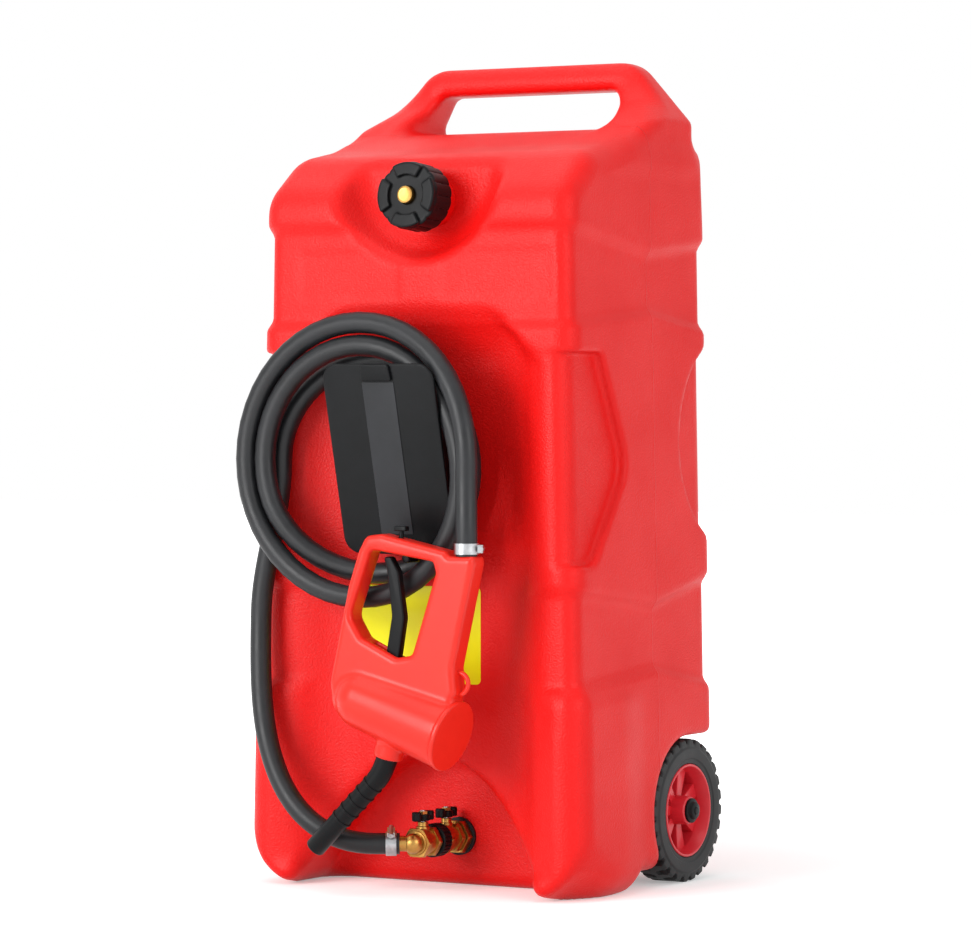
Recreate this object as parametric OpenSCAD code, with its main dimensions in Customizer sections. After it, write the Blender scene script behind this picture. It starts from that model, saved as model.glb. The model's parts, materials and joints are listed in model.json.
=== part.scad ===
// Wheeled fuel transfer tank with a hose, two shut-off valves and a hand nozzle.
// Millimetres. X right, Y back, Z up, ground at Z = 0.

/* [Tank] */
// Width of the tank at the ground
tank_width_low = 403; // [392:1:416]
// Width of the tank at the crest
tank_width_high = 370; // [362:1:382]
// Depth of the tank, front to rear
tank_depth = 299; // [293:1:307]
// Height of the front face up to the shoulder
shoulder_z = 720; // [712:1:728]
// Height of the crest
crest_z = 787; // [780:1:800]
// Wall thickness of the tank
wall = 5; // [4:0.5:6]
// Radius of the four upright edges
edge_r = 25; // [18:1:32]
// Depth of the two moulded bands
band_depth = 6.5; // [4:0.5:8]
// Depth of the hose trough in the front
trough_depth = 28; // [24:1:32]
// Depth of the filler dish
dish_depth = 45; // [41:1:49]
// Height of the grip above the crest
grip_rise = 79; // [70:1:95]
// Thickness of the grip, front to rear
grip_depth = 44; // [36:1:50]

/* [Wheels] */
// Wheel diameter
wheel_d = 151; // [146:1:154]
// Tyre width
tyre_width = 40; // [34:1:42]
// Rim diameter, where the tyre sits
rim_d = 98; // [90:1:104]
// Number of spokes
spokes = 7; // [5:1:9]
// Axle radius
axle_r = 6; // [5:0.5:7]

/* [Filler] */
// Radius of the cap
cap_r = 35; // [33:0.5:37]
// Upward tilt of the filler neck, in degrees
neck_tilt = 5; // [0:1:8]
// Bore radius of the filler neck
neck_bore_r = 20; // [18:0.5:21]
// Radius of the brass vent button
vent_r = 9; // [7:0.5:10]

/* [Hose] */
// Outside diameter of the hose
hose_d = 22; // [20:0.5:22]
// Clear space between neighbouring loops
loop_gap = 1.5; // [1.5:0.5:2.5]
// Width of the hanger plate
plate_width = 133; // [120:1:133]
// Thickness of the hanger plate
plate_t = 4; // [3:0.5:5]

/* [Outlet] */
// Height of the outlet axis
outlet_z = 52; // [48:1:58]
// Radius of the valve barrels
barrel_r = 13.5; // [12.5:0.5:15]
// Outside radius of the coupling ring
ring_r = 17.5; // [15:0.5:20]
// Length of a valve lever
lever_length = 34; // [28:1:38]

/* [Nozzle] */
// Thickness of the nozzle guard
guard_t = 28; // [24:1:28]
// Radius of the pump housing at its wide end
pump_r = 36; // [33:0.5:38]
// Radius of the spout
spout_r = 10.5; // [9.5:0.5:11]
// Thickness of the trigger
trigger_t = 10; // [8:0.5:12]

/* [Hidden] */
$fn = 48;
half_low = tank_width_low / 2;
half_high = tank_width_high / 2;
lean = atan((half_low - half_high) / crest_z);
front_y = -144;
rear_y = front_y + tank_depth;
foot_r = 36;
heel_z = 18;
shoulder_y = front_y + 54;
shoulder_top_z = shoulder_z + 42;
crest_front_y = 50;
part_y = 26;
scoop_deep = 10;

dish_y = front_y + dish_depth;
dish_z = shoulder_z + 34;
dish_rim_r = 106;
dish_floor_r = 85;
neck_z = shoulder_z - 6;
neck_h = 42;
neck_wall = 6;

trough_y = front_y + trough_depth;
trough_half = 108;
trough_run = 43 / 28;

arch_half = 150;
arch_top = 142;
arch_y = front_y + 90;

wheel_y = rear_y - 58;
wheel_z = wheel_d / 2;
well_r = 79;
wheel_tuck = 45.5;
well_gap = 6;
wheel_in = tank_width_low / 2 - wheel_tuck;
well_x = wheel_in - well_gap;
cap_x = wheel_in + tyre_width + 1;

grip_y = rear_y - 41;
grip_z = crest_z + grip_rise;

plate_low_y = -164;
plate_low_z = 350;
plate_high_y = -212;
plate_high_z = 545;
plate_pitch = atan((plate_low_y - plate_high_y) / (plate_high_z - plate_low_z));
plate_len = norm([plate_high_z - plate_low_z, plate_low_y - plate_high_y]);
hub_z = 480;
hub_r = 40;

coil_x = -38;
coil_z = 447;
loop_low = 104;
loop_mid = 117.5;
loop_step = hose_d + loop_gap;
lead_y = -158;
layer_y = -142;
front_layer_y = -182.5;
end_y = -202;
turns = 2.5;
coil_rings = 24;

nozzle_y = -210;
inlet_x = 107;
inlet_z = 352;
pump_x = -14;
pump_z = 203;
pump_tilt = -17.5;
pump_len = 106;
pump_low_r = 30;
pivot = [20, 244];
peg_x = 30;
peg_r = 4.5;
bar_slope = atan((357 - 346) / 74);
bar_under = 357 - peg_x * (357 - 346) / 74;
peg_z = bar_under - peg_r / cos(bar_slope) - 0.05;

outlet_x = 4;
valve_len = 30;
valve_1 = 12;
ring_z = valve_1 + valve_len;
ring_len = 16;
valve_2 = ring_z + ring_len;
elbow_z = valve_2 + valve_len;
ball_r = 9.9;
stem_r = 3;
boss_h = 21;
barb_len = 14;
elbow_turn = 60;

// The row's origin is the middle of the footprint, hose left out.
frame_shift = -((nozzle_y - pump_r - 1) + (wheel_y + wheel_d / 2)) / 2;

red = [0.86, 0.10, 0.08];
black = [0.06, 0.06, 0.07];
grey = [0.22, 0.22, 0.23];
brass = [0.78, 0.58, 0.24];
steel = [0.70, 0.71, 0.72];
yellow = [0.95, 0.86, 0.10];

// Small helpers for outlines, in the form [u, v, corner radius].
function unit(v) = v / norm(v);
function flat(p) = [p[0], p[1]];
function inward(a, b) = let (d = unit(flat(b) - flat(a))) [-d[1], d[0]];
function before(p, k) = p[(k + len(p) - 1) % len(p)];
function after(p, k) = p[(k + 1) % len(p)];

// An outline moved inwards by i, or outwards where i is negative.
function shrink(p, i) = [for (k = [0:len(p) - 1])
    let (n1 = inward(before(p, k), p[k]), n2 = inward(p[k], after(p, k)),
        m = (n1 + n2) / (1 + n1 * n2))
    [p[k][0] + i * m[0], p[k][1] + i * m[1], p[k][2] > 0 ? max(p[k][2] - i, 1) : 0]];

function fillet(a, b, c, r, n) = let (u = unit(flat(a) - flat(b)), w = unit(flat(c) - flat(b)),
        half = acos(u * w) / 2, mid = flat(b) + unit(u + w) * r / sin(half),
        s = flat(b) + u * r / tan(half) - mid, e = flat(b) + w * r / tan(half) - mid,
        from = atan2(s[1], s[0]), turn = (atan2(e[1], e[0]) - from + 540) % 360 - 180)
    [for (k = [0:n]) mid + r * [cos(from + turn * k / n), sin(from + turn * k / n)]];

// An outline with its corners rounded by n chords each.
function rounded(p, n = 4) = [for (k = [0:len(p) - 1]) each (p[k][2] > 0
    ? fillet(before(p, k), p[k], after(p, k), p[k][2], n) : [flat(p[k])])];

// Prisms of an outline in the (X, Z) and (Y, Z) planes.
module prism_xz(path, y0, y1) {
    translate([0, y1, 0]) rotate([90, 0, 0]) linear_extrude(y1 - y0) polygon(path);
}

module prism_yz(path, half) {
    translate([-half, 0, 0]) rotate([90, 0, 90]) linear_extrude(2 * half) polygon(path);
}

front_path = [[-half_low, 0, foot_r], [half_low, 0, foot_r], [half_high, crest_z - 14, 26],
    [95, crest_z + 6, 0], [-95, crest_z + 6, 0], [-half_high, crest_z - 14, 26]];
side_path = [[front_y, 0, 14], [-20, 0, 0], [0, heel_z, 0], [rear_y, heel_z, 35],
    [rear_y, 690, 60], [rear_y - 12, crest_z, 35], [crest_front_y, crest_z, 90],
    [shoulder_y, shoulder_top_z, 60], [front_y, shoulder_z, 40]];

// What rounds off an upright edge that stands on the origin.
module edge_tool(r) {
    translate([-r, -r, -20]) linear_extrude(crest_z + 60) difference() {
        square(r + 30);
        circle(r);
    }
}

// The plain tank body, moved inwards by i.
module tank_form(i) {
    r = max(edge_r - i, 2);
    difference() {
        intersection() {
            prism_xz(rounded(shrink(front_path, i), 5), front_y - 20, rear_y + 20);
            prism_yz(rounded(shrink(side_path, i), 5), half_low + 20);
        }
        for (s = [0, 1]) mirror([s, 0, 0]) {
            translate([half_low - i, rear_y - i, 0]) rotate([0, -lean, 0]) edge_tool(r);
            translate([half_low - i, front_y + i, 0]) rotate([0, -lean, 0]) mirror([0, 1, 0])
                edge_tool(r);
        }
    }
}

upper_band = [[front_y - 20, 583, 0], [part_y, 600, 0], [rear_y + 20, 579, 0],
    [rear_y + 20, 675, 0], [part_y, 659, 0], [front_y - 20, 690, 0]];
lower_band = [[front_y - 20, 212, 0], [part_y, 229, 0], [rear_y + 20, 202, 0],
    [rear_y + 20, 317, 0], [part_y, 293, 0], [front_y - 20, 317, 0]];

// The two moulded bands that run round the tank, with a crease at the parting line.
module bands(i) {
    difference() {
        for (path = [upper_band, lower_band]) prism_yz(rounded(shrink(path, -i)), half_low + 30);
        tank_form(band_depth + i);
    }
}

// The hose trough: a flat floor with sloping sides and a sloping, rounded top.
module trough(i) {
    out = front_y - 16;
    side = trough_half + (trough_y - out) * trough_run;
    plan = [[-trough_half, trough_y, 0], [-side, out, 0], [side, out, 0], [trough_half, trough_y, 0]];
    rise = [[out, 60, 0], [trough_y, 60, 0], [trough_y, 574, 0], [out, 574 + trough_y - out, 0]];
    face = [[-175, 60, 0], [175, 60, 0], [175, 545, 0], [132, 560, 30], [78, 622, 45],
        [-78, 622, 45], [-132, 560, 30], [-175, 545, 0]];
    intersection() {
        linear_extrude(700) polygon(rounded(shrink(plan, -i)));
        prism_yz(rounded(shrink(rise, -i)), 250);
        prism_xz(rounded(shrink(face, -i)), out - 20, trough_y + 20);
    }
}

// The round dish that the filler neck stands in.
module dish(i) {
    grow = (dish_rim_r - dish_floor_r) / dish_depth;
    deep = dish_depth + 16 + i;
    translate([0, dish_y + i, dish_z]) rotate([90, 0, 0])
        cylinder(h = deep, r1 = dish_floor_r + i, r2 = dish_floor_r + i + deep * grow);
}

front_scoop = [[front_y - 30, 340, 0], [front_y + 40, 340, 14], [front_y + 112, 440, 26],
    [front_y + 64, 557, 10], [front_y - 30, 557, 0]];
rear_scoop = [for (a = [70:10:290]) [rear_y + 40 + 111 * cos(a), 466 + 102 * sin(a), 0]];

// Scoops on the four upright edges: a flat floor that runs out over the edge, and a curved end.
module pockets(i) {
    for (s = [0, 1]) mirror([s, 0, 0]) {
        pocket(i, front_scoop, front_y + i, 1);
        pocket(i, rear_scoop, rear_y - i, 0);
    }
}

module pocket(i, path, edge_y, flip) {
    intersection() {
        prism_yz(rounded(shrink(path, -i)), half_low + 40);
        translate([half_low - scoop_deep - i, edge_y, 0]) rotate([0, -lean, 0]) mirror([0, flip, 0]) {
            translate([0, -200, -20]) cube([80, 260, crest_z + 60]);
            edge_tool(max(edge_r - i, 2));
        }
    }
}

// The arched recess at the foot of the front, which holds the outlet.
module arch(i) {
    curve = [for (x = [-arch_half:15:arch_half]) [-x, arch_top * (1 - pow(x / arch_half, 2)), 0]];
    path = concat([[-arch_half, -40, 0], [arch_half, -40, 0]], curve);
    prism_xz(rounded(shrink(path, -i)), front_y - 20, arch_y + i);
}

// The wheel wells at the rear corners, open to the rear.
module wells(i) {
    for (s = [0, 1]) mirror([s, 0, 0]) translate([well_x - i, wheel_y, wheel_z]) {
        rotate([0, 90, 0]) cylinder(h = 100, r = well_r + i);
        translate([0, 0, -wheel_z - 10]) cube([100, 100, wheel_z + 10 + well_r + i]);
    }
}

module tank_solid(i) {
    difference() {
        tank_form(i);
        bands(i);
        trough(i);
        dish(i);
        pockets(i);
        arch(i);
        wells(i);
    }
}

grip_outer = [[-half_high + 2, crest_z - 40, 0], [half_high - 2, crest_z - 40, 0],
    [half_high - 2, crest_z + 14, 12], [124, grip_z, 40], [-124, grip_z, 40],
    [-half_high + 2, crest_z + 14, 12]];
grip_gap = [[-132, crest_z + 3, 12], [132, crest_z + 3, 12], [108, grip_z - 30, 14],
    [-108, grip_z - 30, 14]];
grip_front = grip_y - grip_depth / 2;
grip_back = grip_y + grip_depth / 2;
grip_side = [[grip_front - 80, crest_z - 45, 0], [grip_back, crest_z - 45, 0], [grip_back, grip_z, 16],
    [grip_front, grip_z, 16], [grip_front - 2, crest_z + 34, 25]];

// The loop handle along the rear of the crest.
module handle() {
    intersection() {
        difference() {
            prism_xz(rounded(grip_outer, 6), grip_y - 60, grip_y + 60);
            prism_xz(rounded(grip_gap), grip_y - 70, grip_y + 70);
        }
        prism_yz(rounded(grip_side, 5), half_low);
    }
}

// Frames: along the filler neck, the outlet, a wheel, the hanger plate and the nozzle.
module at_neck() {
    translate([0, dish_y, neck_z]) rotate([90 - neck_tilt, 0, 0]) children();
}

module at_outlet() {
    translate([outlet_x, arch_y, outlet_z]) rotate([90, 0, 0]) children();
}

module at_wheel(side) {
    translate([side * wheel_in, wheel_y, wheel_z]) rotate([0, 90 * side, 0]) children();
}

module at_plate() {
    translate([0, plate_low_y, plate_low_z]) rotate([90 + plate_pitch, 0, 0]) children();
}

module at_nozzle() {
    translate([0, nozzle_y, 0]) rotate([90, 0, 0]) children();
}

flange = [[-46, 398, 8], [46, 398, 8], [46, 512, 8], [-46, 512, 8]];
flange_t = 4;
ledge_seat = 1;
screw_places = [[-39, 405], [39, 405], [39, 505], [-39, 505]];

module tank_shell() {
    color(red) difference() {
        union() {
            tank_solid(0);
            handle();
            at_neck() translate([0, 0, -4]) cylinder(h = neck_h + 4, r = neck_bore_r + neck_wall);
        }
        difference() {
            tank_solid(wall);
            translate([-300, wheel_y, wheel_z]) rotate([0, 90, 0])
                cylinder(h = 600, r = axle_r + wall);
        }
        at_neck() translate([0, 0, -14]) cylinder(h = neck_h + 20, r = neck_bore_r);
        at_outlet() translate([0, 0, -20]) cylinder(h = 30, r = 10.4);
        translate([-300, wheel_y, wheel_z]) rotate([0, 90, 0]) cylinder(h = 600, r = axle_r);
        for (p = screw_places) translate([p[0], trough_y + 3, p[1]]) rotate([90, 0, 0])
            cylinder(h = 10, r = 2);
    }
}

module axle() {
    color(steel) translate([-cap_x - 5, wheel_y, wheel_z]) rotate([0, 90, 0])
        cylinder(h = 2 * cap_x + 10, r = axle_r);
}

module washer(side) {
    color(steel) translate([side * well_x, wheel_y, wheel_z]) rotate([0, 90 * side, 0])
        difference() {
            cylinder(h = 3, r = 13);
            translate([0, 0, -1]) cylinder(h = 5, r = axle_r);
        }
}

module washer_left() { washer(-1); }
module washer_right() { washer(1); }

// A cap pushed on to the end of the axle.
module push_cap(side) {
    color(black) translate([side * cap_x, wheel_y, wheel_z]) rotate([0, 90 * side, 0]) difference() {
        union() {
            cylinder(h = 5, r = 13);
            translate([0, 0, 5]) cylinder(h = 3, r1 = 11, r2 = 8);
        }
        translate([0, 0, -1]) cylinder(h = 6, r = axle_r);
    }
}

module push_cap_left() { push_cap(-1); }
module push_cap_right() { push_cap(1); }

// The spoked rim; it turns on the axle.
module wheel_rim(side) {
    rim = rim_d / 2;
    color(red) at_wheel(side) difference() {
        union() {
            translate([0, 0, 2]) difference() {
                cylinder(h = tyre_width - 4, r = rim);
                translate([0, 0, -1]) cylinder(h = tyre_width, r = rim - 5);
            }
            translate([0, 0, -2.8]) cylinder(h = tyre_width + 3.6, r = 15);
            for (k = [0:spokes - 1]) rotate([0, 0, k * 360 / spokes])
                translate([12, -5.5, tyre_width / 2 - 8]) cube([rim - 14, 11, 16]);
        }
        translate([0, 0, -5]) cylinder(h = tyre_width + 10, r = axle_r + 0.08);
    }
}

module wheel_rim_left() { wheel_rim(-1); }
module wheel_rim_right() { wheel_rim(1); }

// The tyre, with rounded shoulders.
module tyre(side) {
    out = wheel_d / 2;
    rim = rim_d / 2;
    color(black) at_wheel(side) rotate_extrude() polygon([[rim, 1], [out - 2, 0], [out, 3],
        [out, tyre_width - 3], [out - 2, tyre_width], [rim, tyre_width - 1]]);
}

module tyre_left() { tyre(-1); }
module tyre_right() { tyre(1); }

cap_under = neck_h + 2.5;
cap_face = cap_under + 7.5;
cup_floor = cap_under - 8.5;
vent_base = cup_floor + 8;

// The screw cap: ribbed skirt, four grip lobes on its face and a cup for the vent.
module cap_body() {
    color(black) at_neck() difference() {
        union() {
            translate([0, 0, 20]) cylinder(h = cap_face - 20, r = cap_r);
            difference() {
                translate([0, 0, cap_face - 0.5]) cylinder(h = 5.5, r = cap_r - 2.5);
                translate([0, 0, cap_face - 1]) cylinder(h = 8, r = cap_r - 14);
                for (k = [0:3]) rotate([0, 0, 45 + k * 90])
                    translate([0, -6, cap_face]) cube([60, 12, 10]);
            }
        }
        translate([0, 0, 19]) difference() {
            cylinder(h = cap_under - 19, r = neck_bore_r + neck_wall + 0.4);
            translate([0, 0, cup_floor - 21]) cylinder(h = 40, r = vent_r + 4);
        }
        translate([0, 0, cup_floor]) cylinder(h = 40, r = vent_r + 0.08);
        translate([0, 0, cup_floor - 10]) cylinder(h = 20, r = 2);
        for (k = [0:23]) rotate([0, 0, k * 15]) translate([cap_r + 0.8, 0, 18])
            cylinder(h = cap_face - 17, r = 2.2);
    }
}

module cap_gasket() {
    color(grey) at_neck() translate([0, 0, neck_h]) difference() {
        cylinder(h = 2.45, r = neck_bore_r + neck_wall);
        translate([0, 0, -1]) cylinder(h = 6, r = neck_bore_r - 0.5);
    }
}

// The brass button that lets air in when it is pressed.
module vent_button() {
    color(brass) at_neck() {
        translate([0, 0, vent_base]) cylinder(h = cap_face + 5 - vent_base, r = vent_r);
        translate([0, 0, cap_face + 5]) cylinder(h = 1.5, r1 = vent_r, r2 = vent_r - 1.5);
    }
}

// A wire bent round a helix, one unbroken tube.
function helix(r, pitch, n) = [for (k = [0:24 * n])
    [r * cos(k * 15), r * sin(k * 15), pitch * k / 24]];

function tangent(p, k) = unit(p[min(k + 1, len(p) - 1)] - p[max(k - 1, 0)]);

// A round tube along a row of points, whose end faces square up to first and last.
module sweep(p, r, sides, up, first, last) {
    n = len(p);
    rings = [for (k = [0:n - 1]) let (t = k == 0 ? first : k == n - 1 ? last : tangent(p, k),
            u = unit(cross(up, t)), v = cross(t, u))
        for (j = [0:sides - 1]) p[k] + r * (cos(360 * j / sides) * u + sin(360 * j / sides) * v)];
    skin = [for (k = [0:n - 2], j = [0:sides - 1]) let (a = k * sides + j,
            b = k * sides + (j + 1) % sides)
        each [[a, a + sides, b + sides], [a, b + sides, b]]];
    ends = [[for (j = [0:sides - 1]) j], [for (j = [sides - 1:-1:0]) (n - 1) * sides + j]];
    polyhedron(points = rings, faces = concat(skin, ends), convexity = 10);
}

vent_wire = 0.5;
vent_turns = 4;
vent_pitch = (vent_base - cup_floor - 2 * vent_wire - 0.1) / vent_turns;

module vent_spring() {
    color(steel) at_neck() translate([0, 0, cup_floor + vent_wire + 0.05])
        sweep(helix(vent_r - 1.5, vent_pitch, vent_turns), vent_wire, 6, [0, 0, 1], [0, 1, 0], [0, 1, 0]);
}

// The hanger: flange on the trough floor, hub that the hose lies over, leaning plate, nozzle peg.
module hose_hanger() {
    half = plate_width / 2;
    outline = [[-half, 0, 18], [half, 0, 18], [half, plate_len, 18], [-half, plate_len, 18]];
    hub = concat([[-hub_r, 410, 0], [hub_r, 410, 0]],
        [for (a = [0:12:180]) [hub_r * cos(a), hub_z + hub_r * sin(a), 0]]);
    color(black) difference() {
        union() {
            prism_xz(rounded(flange), trough_y - flange_t, trough_y);
            difference() {
                prism_xz(rounded(hub), -215, trough_y);
                at_plate() translate([-100, -100, -plate_t + 0.5]) cube([200, 400, 100]);
            }
            at_plate() translate([0, 0, -plate_t]) linear_extrude(plate_t) polygon(rounded(outline, 6));
            at_plate() translate([-18, plate_len - 17, -ledge_seat]) cube([36, 17, 4 + ledge_seat]);
            at_plate() translate([peg_x - 8, -10, -plate_t]) cube([16, 28, plate_t]);
            translate([peg_x, plate_low_y + 2, peg_z]) rotate([90, 0, 0])
                cylinder(h = plate_low_y + 2 - nozzle_y - 7, r = peg_r);
        }
        for (p = screw_places) translate([p[0], trough_y + 1, p[1]]) rotate([90, 0, 0])
            cylinder(h = 10, r = 2);
    }
}

// A bare strip down the plate.
module plate_strip() {
    color(grey) at_plate() translate([-19, 22, 0]) cube([38, plate_len - 17 - 24, 0.8]);
}

module hanger_screws() {
    color(steel) for (p = screw_places) translate([p[0], trough_y, p[1]]) rotate([90, 0, 0]) {
        translate([0, 0, -3]) cylinder(h = flange_t + 3, r = 2);
        translate([0, 0, flange_t]) cylinder(h = 2.4, r1 = 4, r2 = 3);
    }
}

// A bare label on the trough floor.
module label_plate() {
    color(yellow) translate([-103, trough_y - 0.6, 216]) cube([170, 0.6, 100]);
}

module outlet_gasket() {
    color(black) at_outlet() difference() {
        cylinder(h = 3, r = 20);
        translate([0, 0, -1]) cylinder(h = 6, r = 10.4);
    }
}

// The bulkhead fitting, through the wall of the recess.
module outlet_fitting() {
    color(brass) at_outlet() difference() {
        union() {
            translate([0, 0, -14]) cylinder(h = 26, r = 10.4);
            translate([0, 0, 3]) cylinder(h = valve_1 - 3, r = 19, $fn = 6);
        }
        translate([0, 0, -20]) cylinder(h = 60, r = 7);
    }
}

module outlet_locknut() {
    color(brass) at_outlet() translate([0, 0, -wall - 6]) difference() {
        cylinder(h = 6, r = 18, $fn = 6);
        translate([0, 0, -1]) cylinder(h = 10, r = 10.4);
    }
}

// A ball valve's body: barrel, hexagon, stub for the coupling and the boss round its stem.
module valve_body(start, stub_at, stub_len) {
    mid = start + valve_len / 2;
    difference() {
        union() {
            translate([0, 0, start]) cylinder(h = valve_len, r = barrel_r);
            translate([0, 0, start + 2]) cylinder(h = 6, r = barrel_r + 3, $fn = 6);
            translate([0, 0, start + valve_len - 8]) cylinder(h = 6, r = barrel_r + 3, $fn = 6);
            translate([0, 0, stub_at]) cylinder(h = stub_len, r = 10.3);
            translate([0, 0, mid]) rotate([-90, 0, 0]) cylinder(h = boss_h, r = 7);
        }
        translate([0, 0, start - 20]) cylinder(h = valve_len + 40, r = 7);
        translate([0, 0, mid]) sphere(r = ball_r + 0.3);
        translate([0, 0, mid]) rotate([-90, 0, 0]) cylinder(h = 40, r = stem_r + 0.06);
    }
}

// The ball and its stem.
module valve_ball(start) {
    translate([0, 0, start + valve_len / 2]) difference() {
        union() {
            sphere(r = ball_r);
            rotate([-90, 0, 0]) cylinder(h = boss_h + 12, r = stem_r);
        }
        translate([0, 0, -20]) cylinder(h = 40, r = 6);
    }
}

// A two-winged lever on the stem.
module valve_lever(start) {
    arm = lever_length / 2 - 5;
    translate([0, boss_h + 1, start + valve_len / 2]) rotate([-90, 0, 0]) difference() {
        union() {
            cylinder(h = 7, r = 7.5);
            translate([-3.5, -arm, 1]) cube([7, 2 * arm, 5]);
            for (s = [-1, 1]) translate([0, s * arm, 1]) cylinder(h = 9, r = 5);
        }
        translate([0, 0, -1]) cylinder(h = 20, r = stem_r);
    }
}

module lever_nut(start) {
    translate([0, boss_h + 8, start + valve_len / 2]) rotate([-90, 0, 0]) difference() {
        cylinder(h = 3, r = 5, $fn = 6);
        translate([0, 0, -1]) cylinder(h = 6, r = stem_r);
    }
}

module tank_valve() { color(brass) at_outlet() valve_body(valve_1, ring_z - 1, 8); }
module tank_ball() { color(steel) at_outlet() valve_ball(valve_1); }
module tank_lever() { color(black) at_outlet() valve_lever(valve_1); }
module tank_lever_nut() { color(brass) at_outlet() lever_nut(valve_1); }
module hose_valve() { color(brass) at_outlet() valve_body(valve_2, valve_2 - 7, 8); }
module hose_ball() { color(steel) at_outlet() valve_ball(valve_2); }
module hose_lever() { color(black) at_outlet() valve_lever(valve_2); }
module hose_lever_nut() { color(brass) at_outlet() lever_nut(valve_2); }

// The knurled ring that joins the two valves.
module coupling_ring() {
    color(black) at_outlet() translate([0, 0, ring_z + 0.2]) difference() {
        cylinder(h = ring_len - 0.4, r = ring_r);
        translate([0, 0, -1]) cylinder(h = ring_len + 2, r = 10.6);
        for (k = [0:19]) rotate([0, 0, k * 18]) translate([ring_r + 0.6, 0, 2])
            cylinder(h = ring_len - 4.4, r = 1.6);
    }
}

module coupling_washer() {
    color(grey) at_outlet() translate([0, 0, ring_z + 7]) difference() {
        cylinder(h = ring_len - 14, r = 10.3);
        translate([0, 0, -1]) cylinder(h = 20, r = 7);
    }
}

// The turned barb, which sends the hose off to the left.
module hose_elbow() {
    color(brass) at_outlet() translate([0, 0, elbow_z]) difference() {
        union() {
            cylinder(h = 4, r = 10);
            translate([0, 0, 4]) sphere(r = 10.6);
            translate([0, 0, 4]) rotate([0, -elbow_turn, 0]) cylinder(h = barb_len, r = 8);
        }
        translate([-20, -20, -40]) cube(40);
        translate([0, 0, -1]) cylinder(h = 6, r = 5.5);
        translate([0, 0, 4]) sphere(r = 6);
        translate([0, 0, 4]) rotate([0, -elbow_turn, 0]) cylinder(h = barb_len + 1, r = 5.5);
    }
}

// A band clamp with its worm housing.
module clamp(r) {
    difference() {
        union() {
            cylinder(h = 11, r = r + 1.6);
            translate([r - 1, -5, 1.5]) cube([7, 10, 8]);
            translate([r + 4, -8, 5.5]) rotate([-90, 0, 0]) cylinder(h = 16, r = 2.8);
        }
        translate([0, 0, -1]) cylinder(h = 13, r = r);
    }
}

module lead_clamp() {
    color(steel) at_outlet() translate([0, 0, elbow_z + 4]) rotate([0, -elbow_turn, 0])
        translate([0, 0, barb_len + 3]) rotate([0, 0, 60]) clamp(hose_d / 2);
}

module tail_clamp() {
    color(steel) translate([inlet_x, nozzle_y, inlet_z + 2]) rotate([0, 0, 25]) clamp(hose_d / 2);
}

// The hose. Its coil turns clockwise, seen from the front, from the left side of the hub.
function ease(u) = let (c = min(max(u, 0), 1)) c * c * (3 - 2 * c);

function coil_r(t) = loop_low + 8 * (1 - ease(t / 0.25)) + (loop_mid - loop_low) * ease((t - 0.38) / 0.32)
    + loop_step * ease((t - 1.42) / 0.3);

function coil_y(t) = let (rear = lead_y + (layer_y - lead_y) * ease(t / 0.25),
        front = front_layer_y - 2 * cos(200 - 360 * t), m = ease((t - 0.68) / 0.27))
    rear * (1 - m) + front * m + (end_y - front_layer_y) * ease((t - 2.26) / 0.24);

function coil_at(t) = [coil_x + coil_r(t) * cos(180 - 360 * t), coil_y(t),
    coil_z + coil_r(t) * sin(180 - 360 * t)];

coil_path = [for (k = [0:coil_rings * turns]) coil_at(k / coil_rings)];

fine = [for (k = [0:48 * turns]) coil_at(k / 48)];
least_gap = min([for (i = [0:len(fine) - 1], j = [i + 12:1:len(fine) - 1])
    norm(fine[i] - fine[j])]) - hose_d;
echo(least_gap_of_hose_coil = least_gap);

module hose_coil() {
    color(black) sweep(coil_path, hose_d / 2, 8, [0, 1, 0], [0, 0, 1], [0, 0, -1]);
}

// The lead from the outlet: straight off its barb, then three curves through round points.
lead_way = [-sin(elbow_turn), -cos(elbow_turn), 0];
lead_start = [outlet_x, arch_y - elbow_z - 4, outlet_z] + barb_len * lead_way;
lead_clear = lead_start + 24 * lead_way;
lead_foot = [-154, -176, 148];
lead_foot_way = unit([-0.37, 0.14, 0.92]);
lead_side = [-175, -159.5, 285];
lead_side_way = unit([0, 0.03, 1]);
upright = [0, 0, 1];

function curve(a, b, c, d, n) = [for (k = [1:n]) let (u = k / n, w = 1 - u)
    a * w * w * w + 3 * b * u * w * w + 3 * c * u * u * w + d * u * u * u];

lead_path = concat([lead_start, lead_start + 12 * lead_way, lead_clear],
    curve(lead_clear, lead_clear + 80 * lead_way, lead_foot - 35 * lead_foot_way, lead_foot, 12),
    curve(lead_foot, lead_foot + 45 * lead_foot_way, lead_side - 45 * lead_side_way, lead_side, 8),
    curve(lead_side, lead_side + 55 * lead_side_way, coil_path[0] - 60 * upright, coil_path[0], 9));

module hose_lead() {
    color(black) sweep(lead_path, hose_d / 2, 10, [0, 1, 0], lead_way, upright);
}

tail_from = coil_path[len(coil_path) - 1];
tail_to = [inlet_x, nozzle_y, inlet_z];
tail_path = [for (k = [0:12]) let (u = k / 12, e = ease((u - 0.12) / 0.66))
    [tail_from[0] + (tail_to[0] - tail_from[0]) * e, tail_from[1] + (tail_to[1] - tail_from[1]) * e,
        tail_from[2] + (tail_to[2] - tail_from[2]) * u]];

module hose_tail() {
    color(black) sweep(tail_path, hose_d / 2, 10, [0, 1, 0], [0, 0, -1], [0, 0, -1]);
}

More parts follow.
